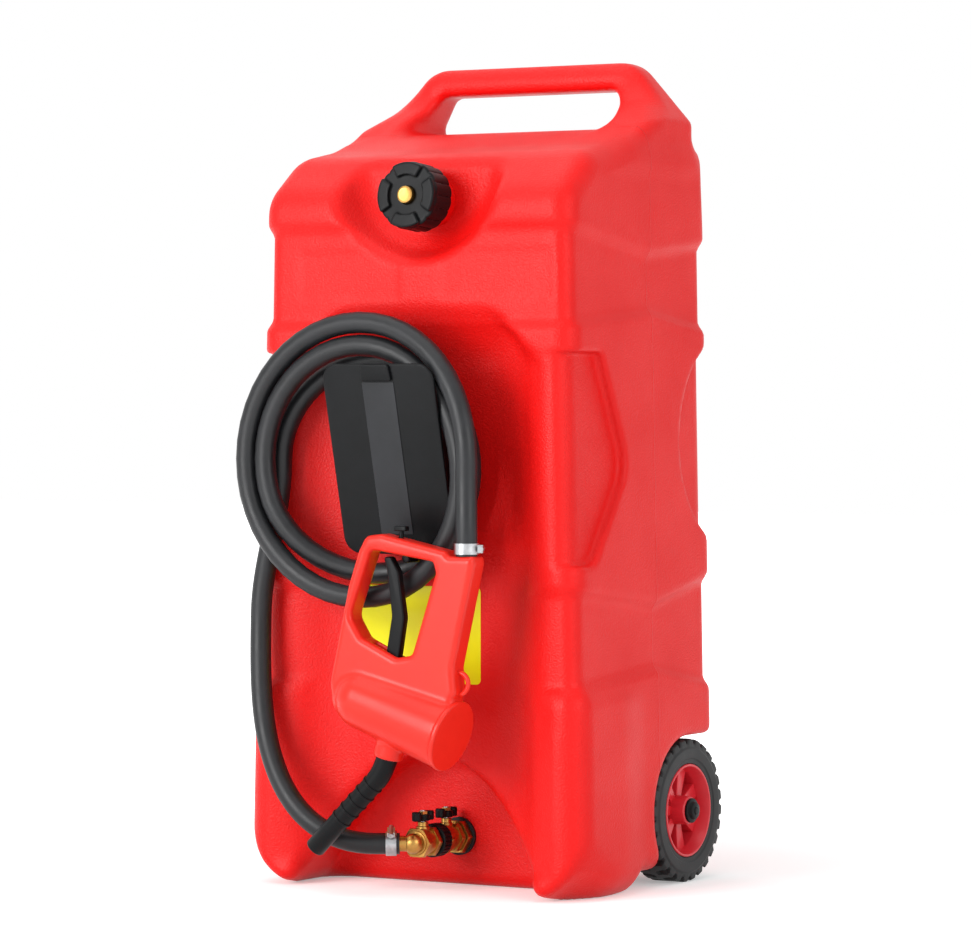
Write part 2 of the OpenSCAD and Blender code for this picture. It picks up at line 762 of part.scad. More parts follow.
// The nozzle. Outlines are in its own plane, X right and Z up.
guard_outer = [[-30, 182, 12], [20, 164, 0], [80, 178, 0], [100, 214, 8], [98, 240, 20],
    [122, 344, 6], [121, 352, 3], [93, 352, 0], [88, 357, 4], [12, 373, 8], [-6, 371, 10],
    [-15, 355, 12], [-27, 320, 0], [-49, 222, 14], [-47, 198, 10]];
guard_inner = [[30, 248, 6], [49, 251, 8], [77, 335, 6], [74, 346, 5], [0, 357, 7], [-25, 289, 14],
    [-11, 267, 10]];
nozzle_bolts = [[-18.5, 325], [-34, 205], [66, 232], [85, 350.5], [4, 364.5]];
stem_z = 234;
stem_bore_r = 4.3;
stem_bore_end = -34;

module along_pump() {
    translate([pump_x, pump_z, 0]) rotate([0, 0, pump_tilt]) rotate([0, 90, 0]) children();
}

module along_spout() {
    translate([10, 132, 0]) rotate([0, 0, atan2(83, 85)]) rotate([0, -90, 0]) children();
}

module along_stub() {
    translate([10, 132, 0]) rotate([0, 0, -atan2(9, 33)]) rotate([-90, 0, 0]) children();
}

module along_limb() {
    translate([inlet_x, inlet_z, 0]) rotate([0, 0, -atan2(23, 137)]) rotate([90, 0, 0]) children();
}

// The whole nozzle housing, before it is split down its middle plane.
module housing() {
    difference() {
        union() {
            translate([0, 0, -guard_t / 2]) linear_extrude(guard_t) difference() {
                polygon(rounded(guard_outer));
                polygon(rounded(guard_inner));
            }
            along_pump() cylinder(h = pump_len, r1 = pump_low_r, r2 = pump_r);
            along_pump() sphere(r = pump_low_r);
            along_stub() translate([0, 0, 14]) cylinder(h = 24, r = spout_r + 4.5);
            translate([98, 224, 0]) rotate_extrude() translate([11, 0]) circle(r = 2.5);
        }
        along_pump() translate([0, 0, 4]) cylinder(h = pump_len, r1 = pump_low_r - 4, r2 = pump_r - 3.5);
        along_limb() translate([0, 0, -2]) cylinder(h = 152, r = 7);
        along_stub() translate([0, 0, 10]) cylinder(h = 30, r = spout_r + 0.5);
        translate([-3, 227, -trigger_t / 2 - 0.4]) cube([52, 34, trigger_t + 0.8]);
        translate([pivot[0], pivot[1], -11]) cylinder(h = 22, r = 2.5);
        translate([stem_bore_end, stem_z, 0]) rotate([0, 90, 0]) cylinder(h = 34, r = stem_bore_r);
        translate([peg_x, 340, 0]) rotate([-90, 0, 0]) cylinder(h = 50, r = 2.58);
        for (p = nozzle_bolts) translate([p[0], p[1], 0]) {
            translate([0, 0, -12]) cylinder(h = 20, r = 1.5);
            translate([0, 0, -50]) cylinder(h = 39, r = 3);
        }
    }
}

module nozzle_front() {
    color(red) at_nozzle() intersection() {
        housing();
        translate([-200, 0, 0]) cube([400, 500, 100]);
    }
}

module nozzle_rear() {
    color(red) at_nozzle() intersection() {
        housing();
        translate([-200, 0, -100]) cube([400, 500, 100]);
    }
}

module nozzle_screws() {
    color(steel) at_nozzle() for (p = nozzle_bolts) translate([p[0], p[1], 0]) {
        translate([0, 0, -12]) cylinder(h = 19, r = 1.5);
        translate([0, 0, -13.4]) cylinder(h = 2.4, r = 2.9);
    }
}

// The lid on the wide end of the pump housing.
module pump_cap() {
    color(red) at_nozzle() along_pump() translate([0, 0, pump_len]) {
        cylinder(h = 4, r = pump_r + 1);
        translate([0, 0, -3]) cylinder(h = 3.5, r = pump_r - 5.5);
    }
}

trigger_path = [[12, 240, 3], [28, 240, 3], [36, 288, 20], [29, 335, 8], [20, 350, 3], [11, 350, 3],
    [15, 336, 6], [21, 290, 20]];

module trigger() {
    color(black) at_nozzle() translate([0, 0, -trigger_t / 2]) linear_extrude(trigger_t) difference() {
        union() {
            polygon(rounded(trigger_path));
            translate(pivot) circle(r = 9);
            translate([pivot[0] - 4.5, pivot[1] - 15]) square([9, 12]);
        }
        translate(pivot) circle(r = 2.56);
    }
}

module trigger_pin() {
    color(steel) at_nozzle() translate([pivot[0], pivot[1], -11]) cylinder(h = 22, r = 2.5);
}

// The latch that keeps the trigger squeezed, pushed down through the top bar.
module trigger_latch() {
    color(black) at_nozzle() translate([peg_x, 0, 0]) {
        translate([0, bar_under + 0.6, 0]) rotate([-90, 0, 0]) cylinder(h = 377 - bar_under, r = 2.5);
        translate([-7, 376, -4]) cube([14, 5, 8]);
    }
}

stem_tip = pivot[0] - 4.5 - 0.1;

// The valve stem that the trigger's heel pushes, and the spring that sends it back.
module valve_stem() {
    color(brass) at_nozzle() translate([-16, stem_z, 0]) rotate([0, 90, 0]) {
        cylinder(h = 10, r = stem_bore_r - 0.08);
        cylinder(h = stem_tip + 16, r = 2);
    }
}

stem_wire = 0.5;
stem_turns = 6;
stem_pitch = (-16 - stem_bore_end - 2 * stem_wire - 0.1) / stem_turns;

module stem_spring() {
    color(steel) at_nozzle() translate([stem_bore_end + stem_wire + 0.05, stem_z, 0]) rotate([0, 90, 0])
        sweep(helix(stem_bore_r - 0.9, stem_pitch, stem_turns), stem_wire, 6, [0, 0, 1], [0, 1, 0], [0, 1, 0]);
}

module hose_inlet() {
    color(steel) at_nozzle() along_limb() difference() {
        translate([0, 0, 1.5]) cylinder(h = 24, r = 7);
        cylinder(h = 40, r = 5);
    }
}

module spout_elbow() {
    color(black) at_nozzle() difference() {
        union() {
            along_stub() cylinder(h = 32, r = spout_r + 0.5);
            translate([10, 132, 0]) sphere(r = spout_r + 1.7);
            along_spout() cylinder(h = 14, r = spout_r + 1);
        }
        along_stub() cylinder(h = 40, r = 6.5);
        translate([10, 132, 0]) sphere(r = 7);
        along_spout() cylinder(h = 40, r = 6.5);
    }
}

// The spout tube, with its rings.
module spout() {
    color(black) at_nozzle() along_spout() difference() {
        union() {
            translate([0, 0, 14]) cylinder(h = 105, r = spout_r);
            for (k = [0:4]) translate([0, 0, 19 + k * 13]) cylinder(h = 3, r = spout_r + 1);
        }
        translate([0, 0, 10]) cylinder(h = 120, r = 7.5);
    }
}

// Everything is drawn about the tank's middle and moved to the row's origin here.
module placed() {
    translate([0, frame_shift, 0]) children();
}

placed() {
    tank_shell();
    axle();
    washer_left();
    washer_right();
    push_cap_left();
    push_cap_right();
    wheel_rim_left();
    wheel_rim_right();
    tyre_left();
    tyre_right();
    cap_body();
    cap_gasket();
    vent_button();
    vent_spring();
    hose_hanger();
    plate_strip();
    hanger_screws();
    label_plate();
    outlet_gasket();
    outlet_fitting();
    outlet_locknut();
    tank_valve();
    tank_ball();
    tank_lever();
    tank_lever_nut();
    coupling_ring();
    coupling_washer();
    hose_valve();
    hose_ball();
    hose_lever();
    hose_lever_nut();
    hose_elbow();
    lead_clamp();
    tail_clamp();
    hose_lead();
    hose_coil();
    hose_tail();
    nozzle_front();
    nozzle_rear();
    nozzle_screws();
    pump_cap();
    trigger();
    trigger_pin();
    trigger_latch();
    valve_stem();
    stem_spring();
    hose_inlet();
    spout();
    spout_elbow();
}
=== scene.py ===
"""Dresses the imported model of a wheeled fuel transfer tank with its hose, valves and hand nozzle.

Sizes are in millimetres about the tank's middle: X right, Y back, Z up, ground at Z = 0.
`placed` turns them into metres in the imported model's frame.
"""

from __future__ import annotations

import json
import logging
import math
from dataclasses import dataclass, field
from enum import Enum
from typing import Any, Callable

import bpy
import numpy as np
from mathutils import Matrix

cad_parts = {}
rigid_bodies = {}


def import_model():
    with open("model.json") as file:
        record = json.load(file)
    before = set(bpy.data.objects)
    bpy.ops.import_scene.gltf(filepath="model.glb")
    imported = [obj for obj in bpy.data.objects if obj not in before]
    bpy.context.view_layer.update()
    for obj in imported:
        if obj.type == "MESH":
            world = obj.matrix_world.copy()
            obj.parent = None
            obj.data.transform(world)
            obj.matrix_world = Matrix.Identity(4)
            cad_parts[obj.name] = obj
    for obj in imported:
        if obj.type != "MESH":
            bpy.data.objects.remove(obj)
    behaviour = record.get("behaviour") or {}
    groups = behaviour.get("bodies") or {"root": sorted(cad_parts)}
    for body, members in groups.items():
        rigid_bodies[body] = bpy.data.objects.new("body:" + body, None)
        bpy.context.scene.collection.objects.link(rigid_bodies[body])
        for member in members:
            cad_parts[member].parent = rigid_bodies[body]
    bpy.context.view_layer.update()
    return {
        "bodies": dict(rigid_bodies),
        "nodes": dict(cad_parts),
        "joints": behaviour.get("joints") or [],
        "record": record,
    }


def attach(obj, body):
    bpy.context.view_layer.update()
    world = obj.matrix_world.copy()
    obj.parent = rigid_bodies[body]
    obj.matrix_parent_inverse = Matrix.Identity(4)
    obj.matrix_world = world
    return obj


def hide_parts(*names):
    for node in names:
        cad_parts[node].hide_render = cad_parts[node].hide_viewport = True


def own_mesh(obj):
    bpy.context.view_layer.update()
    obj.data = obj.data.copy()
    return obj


LOG = logging.getLogger("fuel_tank")
MM = 0.001
FRAME_SHIFT = 37.25
IMAGE_WIDTH = 971
IMAGE_HEIGHT = 941

# Places that several parts share: the floors of the hose trough and the filler's dish, the filler's foot
# and tilt, a wheel's centre as (y, z), and the nozzle's middle plane.
TROUGH_Y = -116.0
DISH_Y = -99.0
FILLER = ((0.0, DISH_Y, 714.0), 85.0)
WHEEL = (97.0, 75.5)
NOZZLE_Y = -210.0

Array = np.ndarray
Pair = tuple[float, float]
Corner = tuple[float, float, float]
Triple = tuple[float, float, float]
Field = Callable[[Array, Array, Array], Array]


class Side(Enum):
    """The two sides of the tank, as the sign of X."""

    LEFT = -1
    RIGHT = 1


class Body(Enum):
    """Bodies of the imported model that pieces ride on."""

    TANK = "tank"
    WHEEL_LEFT = "wheel_left"
    WHEEL_RIGHT = "wheel_right"
    CAP = "cap"
    VENT = "vent"
    TANK_HANDLE = "tank_valve_handle"
    HOSE_HANDLE = "hose_valve_handle"
    RING = "ring"
    TRIGGER = "trigger"
    LATCH = "latch"


# Points and frames


def placed(points: Array) -> Array:
    """Moves points from the tank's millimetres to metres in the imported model's frame."""
    return (np.asarray(points, float) + np.array([0.0, FRAME_SHIFT, 0.0])) * MM


def unit(vector: Array) -> Array:
    """Scales vectors along the last axis to length one."""
    vector = np.asarray(vector, float)
    return vector / np.linalg.norm(vector, axis=-1, keepdims=True)


def ease(value: Array) -> Array:
    """Smooth step: 3c^2 - 2c^3 of the value held between 0 and 1."""
    held = np.clip(value, 0.0, 1.0)
    return held * held * (3.0 - 2.0 * held)


def over(value: Array, window: Pair) -> Array:
    """Eased step from 0 to 1 over a window, given as its start and its length."""
    return ease((value - window[0]) / window[1])


@dataclass(frozen=True)
class Frame:
    """A local frame in the tank's millimetres: origin and three axes."""

    origin: Triple
    u: Triple
    v: Triple
    w: Triple

    @classmethod
    def tipped(cls, origin: Triple, degrees: float) -> Frame:
        """A frame turned about X, as a drawing plane tipped up by the given angle."""
        turn = math.radians(degrees)
        return cls(origin, (1.0, 0.0, 0.0), (0.0, math.cos(turn), math.sin(turn)),
                   (0.0, -math.sin(turn), math.cos(turn)))

    def place(self, points: Array) -> Array:
        """Points in this frame, as points about the tank's middle."""
        return np.array(self.origin) + points @ np.array([self.u, self.v, self.w])

    def local(self, x: Array, y: Array, z: Array) -> tuple[Array, Array, Array]:
        """Coordinates about the tank's middle, as coordinates in this frame."""
        gap = (x - self.origin[0], y - self.origin[1], z - self.origin[2])
        axes = (self.u, self.v, self.w)
        return tuple(sum(g * a for g, a in zip(gap, axis) if a) for axis in axes)


# Outlines in a plane


def corner_arc(before: Corner, corner: Corner, after: Corner, chords: int) -> Array:
    """Arc that rounds one corner of an outline by the corner's radius."""
    here = np.array(corner[:2])
    back = unit(np.array(before[:2]) - here)
    onward = unit(np.array(after[:2]) - here)
    half = math.acos(float(np.clip(back @ onward, -1.0, 1.0))) / 2.0
    middle = here + unit(back + onward) * corner[2] / math.sin(half)
    start = here + back * corner[2] / math.tan(half) - middle
    stop = here + onward * corner[2] / math.tan(half) - middle
    first = math.atan2(start[1], start[0])
    turn = (math.atan2(stop[1], stop[0]) - first + 3.0 * math.pi) % (2.0 * math.pi) - math.pi
    angle = first + turn * np.linspace(0.0, 1.0, chords + 1)
    return middle + corner[2] * np.stack([np.cos(angle), np.sin(angle)], axis=-1)


def rounded(corners: list[Corner], chords: int = 8, closed: bool = True) -> Array:
    """Outline whose corners are rounded by their radii.

    Args:
        corners: Corners as (u, v, radius); a radius of 0 stays sharp.
        chords: Chords in each arc.
        closed: Whether the last corner joins the first.

    Returns:
        Points of the outline, one row each.
    """
    count = len(corners)
    parts = []
    for index, corner in enumerate(corners):
        inner = closed or 0 < index < count - 1
        if corner[2] > 0 and inner:
            parts.append(corner_arc(corners[index - 1], corner, corners[(index + 1) % count], chords))
        else:
            parts.append(np.array([corner[:2]], float))
    return np.concatenate(parts)


def mirrored(corners: list[Corner]) -> list[Corner]:
    """Right-hand corners from bottom to top, closed by their mirror image on the left."""
    return corners + [(-u, v, r) for u, v, r in reversed(corners)]


def circle(middle: Pair, radius: float, count: int) -> Array:
    """Points round a circle, counter-clockwise."""
    angle = np.linspace(0.0, 2.0 * math.pi, count, endpoint=False)
    return np.column_stack([middle[0] + radius * np.cos(angle), middle[1] + radius * np.sin(angle)])


def inset(outline: Array, depth: float) -> Array:
    """Counter-clockwise outline moved inwards by depth, along the mitre at each point."""
    onward = unit(np.roll(outline, -1, axis=0) - outline)
    normal = np.stack([-onward[:, 1], onward[:, 0]], axis=-1)
    last = np.roll(normal, 1, axis=0)
    spread = 1.0 + np.sum(last * normal, axis=-1, keepdims=True)
    return outline + depth * (last + normal) / np.maximum(spread, 0.4)


# Fields: signed distances in millimetres, negative inside


def outline_field(outline: Array, u: Array, v: Array) -> Array:
    """Signed distance to a closed outline.

    The distance is the least of the distances to its edges. Its sign comes from how many edges a ray to
    the right crosses: an odd number is inside.

    Args:
        outline: Points of the outline.
        u: First coordinate.
        v: Second coordinate, of a shape that broadcasts with the first.

    Returns:
        The distance, negative inside.
    """
    square = np.full(np.broadcast(u, v).shape, np.inf)
    inside = np.zeros(square.shape, bool)
    for (au, av), (bu, bv) in zip(outline, np.roll(outline, -1, axis=0)):
        eu = bu - au
        ev = bv - av
        along = np.clip(((u - au) * eu + (v - av) * ev) / (eu * eu + ev * ev), 0.0, 1.0)
        square = np.minimum(square, (u - au - along * eu) ** 2 + (v - av - along * ev) ** 2)
        if ev != 0.0:
            inside ^= ((av > v) != (bv > v)) & (u < au + (v - av) * eu / ev)
    return np.where(inside, -1.0, 1.0) * np.sqrt(square)


def cut(a: Array, b: Array, radius: float) -> Array:
    """Intersection of two fields, whose meeting edge is rounded by radius."""
    edge = np.hypot(np.maximum(a + radius, 0.0), np.maximum(b + radius, 0.0))
    return np.minimum(-radius, np.maximum(a, b)) + edge


def join(a: Array, b: Array, radius: float) -> Array:
    """Union of two fields, with a fillet of the radius between them."""
    return -cut(-a, -b, radius)


def plate_field(u: Array, v: Array, middle: Pair, half: Pair,
                radius: float) -> Array:
    """Signed distance to a rectangle with rounded corners."""
    du = np.abs(u - middle[0]) - half[0] + radius
    dv = np.abs(v - middle[1]) - half[1] + radius
    outside = np.hypot(np.maximum(du, 0.0), np.maximum(dv, 0.0))
    return outside + np.minimum(np.maximum(du, dv), 0.0) - radius


# Shapes


@dataclass
class Shape:
    """Points in the tank's millimetres and faces, as arrays of equal-sided faces."""

    points: Array
    faces: list[Array]

    def moved(self, frame: Frame) -> Shape:
        """The same shape, drawn in a local frame and put in its place."""
        return Shape(frame.place(self.points), self.faces)

    def plus(self, *others: Shape) -> Shape:
        """This shape and others, as one."""
        points = [self.points]
        faces = list(self.faces)
        start = len(self.points)
        for other in others:
            points.append(other.points)
            faces += [face + start for face in other.faces]
            start += len(other.points)
        return Shape(np.concatenate(points), faces)


def ring_faces(rows: int, columns: int, looped: bool = False) -> Array:
    """Quads of a grid whose columns go round, and whose rows do too where it is looped."""
    row = np.arange(rows if looped else rows - 1)[:, None]
    column = np.arange(columns)[None, :]
    above = (row + 1) % rows
    beside = (column + 1) % columns
    quads = [row * columns + column, row * columns + beside, above * columns + beside,
             above * columns + column]
    return np.stack(quads, axis=-1).reshape(-1, 4)


def rings(grid: Array, looped: bool = False) -> Shape:
    """Closed shape from rings of points: a grid of rows by columns, ends capped unless it is looped."""
    rows, columns, _ = grid.shape
    faces = [ring_faces(rows, columns, looped)]
    if not looped:
        first = np.arange(columns)[None, ::-1]
        last = (rows - 1) * columns + np.arange(columns)[None, :]
        faces += [first, last]
    return Shape(grid.reshape(-1, 3), faces)


def turned(profile: Array, columns: int = 64, looped: bool = False,
           swell: Callable[[Array, Array, Array], Array] | None = None) -> Shape:
    """Surface of a profile turned about w: (r cos a, r sin a, h).

    Args:
        profile: Radius and height of each point, counter-clockwise in the (r, h) plane.
        columns: Steps round the axis.
        looped: Whether the profile closes on itself, as a ring's does.
        swell: Radius as a function of (radius, height, angle), for flats, ribs and treads.

    Returns:
        The closed shape.
    """
    angle = np.linspace(0.0, 2.0 * np.pi, columns, endpoint=False)[None, :]
    radius = profile[:, :1]
    height = profile[:, 1:]
    spread = swell(radius, height, angle) if swell else radius + 0.0 * angle
    grid = np.stack([spread * np.cos(angle), spread * np.sin(angle), height + 0.0 * spread], axis=-1)
    return rings(grid, looped)


def lathe(corners: list[Corner], columns: int, looped: bool = True,
          swell: Callable[[Array, Array, Array], Array] | None = None) -> Shape:
    """A profile of rounded corners, turned about w: a ring, or a plug where it isn't looped."""
    return turned(rounded(corners, 3, False), columns, looped, swell)


def six_sided(corner: float) -> Callable[[Array, Array, Array], Array]:
    """Swell that flattens radii above a hexagon's flats into the hexagon with that corner radius."""

    def swell(radius: Array, height: Array, angle: Array) -> Array:
        """Least of the turned radius and the hexagon's own radius at the angle."""
        step = np.mod(angle, math.pi / 3.0) - math.pi / 6.0
        flat = corner * math.cos(math.pi / 6.0) / np.cos(step)
        return np.minimum(radius, flat) + 0.0 * height

    return swell


def slab(outline: Array, low: float, high: float, bevel: float, steps: int = 3) -> Shape:
    """Outline carried from one height to another, its two rims rounded by a quarter circle of bevel.

    Args:
        outline: Counter-clockwise outline.
        low: Lower height.
        high: Upper height.
        bevel: Radius of the rounded rims.
        steps: Chords in each quarter circle.

    Returns:
        The closed shape, in (u, v, w).
    """
    angle = np.linspace(0.0, math.pi / 2.0, steps + 1)
    deep = bevel * (1.0 - np.sin(angle))
    rise = bevel * (1.0 - np.cos(angle))
    depth = np.concatenate([deep, deep[::-1]])
    height = np.concatenate([low + rise, high - rise[::-1]])
    grid = np.stack([np.column_stack([inset(outline, d), np.full(len(outline), h)])
                     for d, h in zip(depth, height)])
    return rings(grid)


def tube(path: Array, radius: float, columns: int, up: Triple, looped: bool = False) -> Shape:
    """Round tube along a path: each ring stands square to the path's direction there.

    Args:
        path: Points of the centre line.
        radius: Radius of the tube.
        columns: Points in each ring.
        up: Direction that the path never runs along.
        looped: Whether the path closes on itself.

    Returns:
        The closed shape.
    """
    if looped:
        onward = unit(np.roll(path, -1, axis=0) - np.roll(path, 1, axis=0))
    else:
        onward = unit(np.gradient(path, axis=0))
    across = unit(np.cross(np.array(up), onward))
    over = np.cross(onward, across)
    angle = np.linspace(0.0, 2.0 * np.pi, columns, endpoint=False)[None, :, None]
    grid = path[:, None] + radius * (np.cos(angle) * across[:, None] + np.sin(angle) * over[:, None])
    return rings(grid, looped)


def spring(length: float, radius: float, wire: float, turns: int) -> Shape:
    """Coil spring along w from 0 to length: a tube along (r cos a, r sin a, h) with a and h in step."""
    steps = np.linspace(0.0, 1.0, 24 * turns + 1)
    angle = 2.0 * math.pi * turns * steps
    rise = wire + (length - 2.0 * wire) * steps
    path = np.column_stack([radius * np.cos(angle), radius * np.sin(angle), rise])
    return tube(path, wire, 10, (0.0, 0.0, 1.0))


def cell_points(value: Array, cells: Array) -> Array:
    """Middle of the points where a field changes sign on each cell's twelve edges, in grid steps."""
    total = np.zeros(cells.shape)
    count = np.zeros(len(cells))
    for axis in range(3):
        for one in (0, 1):
            for other in (0, 1):
                start = cells.copy()
                start[:, (axis + 1) % 3] += one
                start[:, (axis + 2) % 3] += other
                stop = start.copy()
                stop[:, axis] += 1
                a = value[tuple(start.T)]
                b = value[tuple(stop.T)]
                hit = (a < 0.0) != (b < 0.0)
                point = start.astype(float)
                point[:, axis] += np.where(hit, a / np.where(hit, a - b, 1.0), 0.0)
                total += point * hit[:, None]
                count += hit
    return total / count[:, None]


def crossing_quads(inside: Array, index: Array) -> Array:
    """One quad round each grid edge that crosses the surface, facing out."""
    quads = []
    for axis in range(3):
        start = np.take(inside, range(inside.shape[axis] - 1), axis)
        stop = np.take(inside, range(1, inside.shape[axis]), axis)
        edges = np.argwhere(start != stop)
        one = np.eye(3, dtype=int)[(axis + 1) % 3]
        other = np.eye(3, dtype=int)[(axis + 2) % 3]
        around = [edges - one - other, edges - other, edges, edges - one]
        quad = np.stack([index[tuple(cell.T)] for cell in around], axis=-1)
        outward = inside[tuple(edges.T)]
        quads.append(np.where(outward[:, None], quad, quad[:, ::-1]))
    return np.concatenate(quads)


def skin(shape_field: Field, low: Triple, high: Triple, cell: float, settle: int = 2) -> Shape:
    """Skin of a field's zero level, as a net with one point in each cell that the surface crosses.

    Each point starts at the middle of the crossings on its cell's edges and is then moved on to the
    surface along the field's slope: p - f(p) g / |g|^2.

    Args:
        shape_field: Signed field of (x, y, z).
        low: Low corner of the box to search, clear of the surface.
        high: High corner of the box.
        cell: Size of a cell.
        settle: Number of moves on to the surface.

    Returns:
        The closed skin.
    """
    counts = np.ceil((np.array(high) - np.array(low)) / cell).astype(int) + 1
    x, y, z = (start + cell * np.arange(count) for start, count in zip(low, counts))
    value = np.broadcast_to(shape_field(x[:, None, None], y[None, :, None], z[None, None, :]), counts)
    inside = value < 0.0
    corners = [inside[i:counts[0] - 1 + i, j:counts[1] - 1 + j, k:counts[2] - 1 + k]
               for i in (0, 1) for j in (0, 1) for k in (0, 1)]
    total = np.sum(corners, axis=0)
    mixed = (total > 0) & (total < 8)
    cells = np.argwhere(mixed)
    index = np.full(mixed.shape, -1)
    index[mixed] = np.arange(len(cells))
    points = np.array(low) + cell * cell_points(value, cells)
    small = 0.05 * cell
    for _ in range(settle):
        here = shape_field(*points.T)
        steps = [shape_field(*(points + small * axis).T) - here for axis in np.eye(3)]
        slope = np.stack(steps, axis=-1) / small
        move = here[:, None] * slope / np.maximum(np.sum(slope ** 2, axis=-1, keepdims=True), 0.2)
        points = points - np.clip(move, -0.6 * cell, 0.6 * cell)
    return Shape(points, [crossing_quads(inside, index)])


# Finishes


def linear(colour: str, alpha: float = 1.0) -> tuple[float, float, float, float]:
    """An sRGB hex colour as linear red, green, blue and alpha."""
    parts = [int(colour.lstrip("#")[start:start + 2], 16) / 255.0 for start in (0, 2, 4)]
    red, green, blue = (c / 12.92 if c <= 0.04045 else ((c + 0.055) / 1.055) ** 2.4 for c in parts)
    return red, green, blue, alpha


def add(tree: bpy.types.NodeTree, kind: str, inputs: dict[str | int, Any] | None = None,
        **settings: Any) -> bpy.types.Node:
    """Adds a node to a tree.

    Args:
        tree: The node tree.
        kind: The node's type name.
        inputs: Values for its input sockets, or output sockets to link to them.
        **settings: The node's own properties.

    Returns:
        The new node.
    """
    node = tree.nodes.new(kind)
    for name, value in settings.items():
        setattr(node, name, value)
    for key, value in (inputs or {}).items():
        if isinstance(value, bpy.types.NodeSocket):
            tree.links.new(value, node.inputs[key])
        else:
            node.inputs[key].default_value = value
    return node


def remap(tree: bpy.types.NodeTree, value: bpy.types.NodeSocket, source: Pair, target: Pair = (0.0, 1.0),
          smooth: bool = False) -> bpy.types.NodeSocket:
    """Maps a value from one range on to another, in a straight or an eased line."""
    node = add(tree, "ShaderNodeMapRange", {"Value": value, "From Min": source[0], "From Max": source[1],
                                            "To Min": target[0], "To Max": target[1]},
               interpolation_type="SMOOTHSTEP" if smooth else "LINEAR")
    return node.outputs["Result"]


def calc(tree: bpy.types.NodeTree, operation: str, *values: Any) -> bpy.types.NodeSocket:
    """One step of arithmetic on sockets and numbers."""
    return add(tree, "ShaderNodeMath", dict(enumerate(values)), operation=operation).outputs[0]


@dataclass(frozen=True)
class Finish:
    """Two close tones that drift in soft patches, with gloss to match, under fine bumps.

    Patches and grain are noise on Object coordinates. Their sizes and the grain's depth are millimetres.
    """

    name: str
    colour: str
    shade: str
    roughness: float
    grain: float = 1.2
    grain_depth: float = 0.05
    patch: float = 9.0
    specular: float = 0.5
    seam_y: float | None = None
    patch_noise: Pair = (4.0, 0.6)
    grain_detail: float = 2.0
    tone_range: Pair = (0.3, 0.7)
    gloss_range: Pair = (0.3, 0.7)
    gloss_spread: Pair = (-0.05, 0.05)
    bump: float = 1.0
    sockets: tuple[tuple[str, float], ...] = ()

    @staticmethod
    def noise(tree: bpy.types.NodeTree, coords: bpy.types.NodeSocket, size: float, detail: float,
              roughness: float = 0.5) -> bpy.types.NodeSocket:
        """Noise whose features are that many millimetres across."""
        texture = add(tree, "ShaderNodeTexNoise", {"Vector": coords, "Scale": 1.0 / (size * MM),
                                                   "Detail": detail, "Roughness": roughness})
        return texture.outputs["Fac"]

    def build(self) -> bpy.types.Material:
        """Makes the material."""
        material = bpy.data.materials.new(self.name)
        material.use_nodes = True
        tree = material.node_tree
        shader = tree.nodes["Principled BSDF"]
        coords = add(tree, "ShaderNodeTexCoord").outputs["Object"]
        patch = self.noise(tree, coords, self.patch, *self.patch_noise)
        grain = self.noise(tree, coords, self.grain, self.grain_detail)
        mix = add(tree, "ShaderNodeMix", {0: remap(tree, patch, self.tone_range), 6: linear(self.colour),
                                          7: linear(self.shade)}, data_type="RGBA")
        low, high = self.gloss_spread
        gloss = remap(tree, patch, self.gloss_range, (self.roughness + low, self.roughness + high))
        bump = add(tree, "ShaderNodeBump", {"Strength": self.bump, "Distance": self.grain_depth * MM,
                                            "Height": grain})
        normal = bump.outputs["Normal"]
        if self.seam_y is not None:
            normal = self.seam(tree, coords, normal)
        tree.links.new(mix.outputs[2], shader.inputs["Base Color"])
        tree.links.new(gloss, shader.inputs["Roughness"])
        tree.links.new(normal, shader.inputs["Normal"])
        shader.inputs["Specular IOR Level"].default_value = self.specular
        for socket, value in self.sockets:
            shader.inputs[socket].default_value = value
        return material

    def seam(self, tree: bpy.types.NodeTree, coords: bpy.types.NodeSocket,
             normal: bpy.types.NodeSocket) -> bpy.types.NodeSocket:
        """Adds the mould's parting line: a raised bead about 2 mm wide in the plane of seam_y."""
        split = add(tree, "ShaderNodeSeparateXYZ", {"Vector": coords})
        away = calc(tree, "ABSOLUTE", calc(tree, "SUBTRACT", split.outputs["Y"],
                                           (self.seam_y + FRAME_SHIFT) * MM))
        bead = remap(tree, away, (0.2 * MM, 1.2 * MM), (1.0, 0.0), True)
        ridge = add(tree, "ShaderNodeBump", {"Strength": 0.8, "Distance": 0.8 * MM, "Height": bead,
                                             "Normal": normal})
        return ridge.outputs["Normal"]


@dataclass(frozen=True)
class MouldedPlastic(Finish):
    """Moulded plastic: an even colour with a faint mottle; the mould's grain breaks its highlights."""

    grain_detail: float = 1.5


@dataclass(frozen=True)
class Metal(Finish):
    """Machined or plated metal: a clear mirror softened by tool marks, with duller patches."""

    patch_noise: Pair = (5.0, 0.5)
    tone_range: Pair = (0.42, 0.72)
    gloss_range: Pair = (0.35, 0.7)
    gloss_spread: Pair = (0.0, 0.16)
    bump: float = 0.4
    sockets: tuple[tuple[str, float], ...] = (("Metallic", 1.0),)


@dataclass(frozen=True)
class Rubber(Finish):
    """Extruded or moulded rubber: near black, satin, with a thin grey bloom in patches."""

    patch: float = 26.0
    specular: float = 0.32
    patch_noise: Pair = (6.0, 0.65)
    tone_range: Pair = (0.38, 0.72)
    gloss_spread: Pair = (-0.06, 0.08)
    bump: float = 0.6
    sockets: tuple[tuple[str, float], ...] = (("IOR", 1.52),)


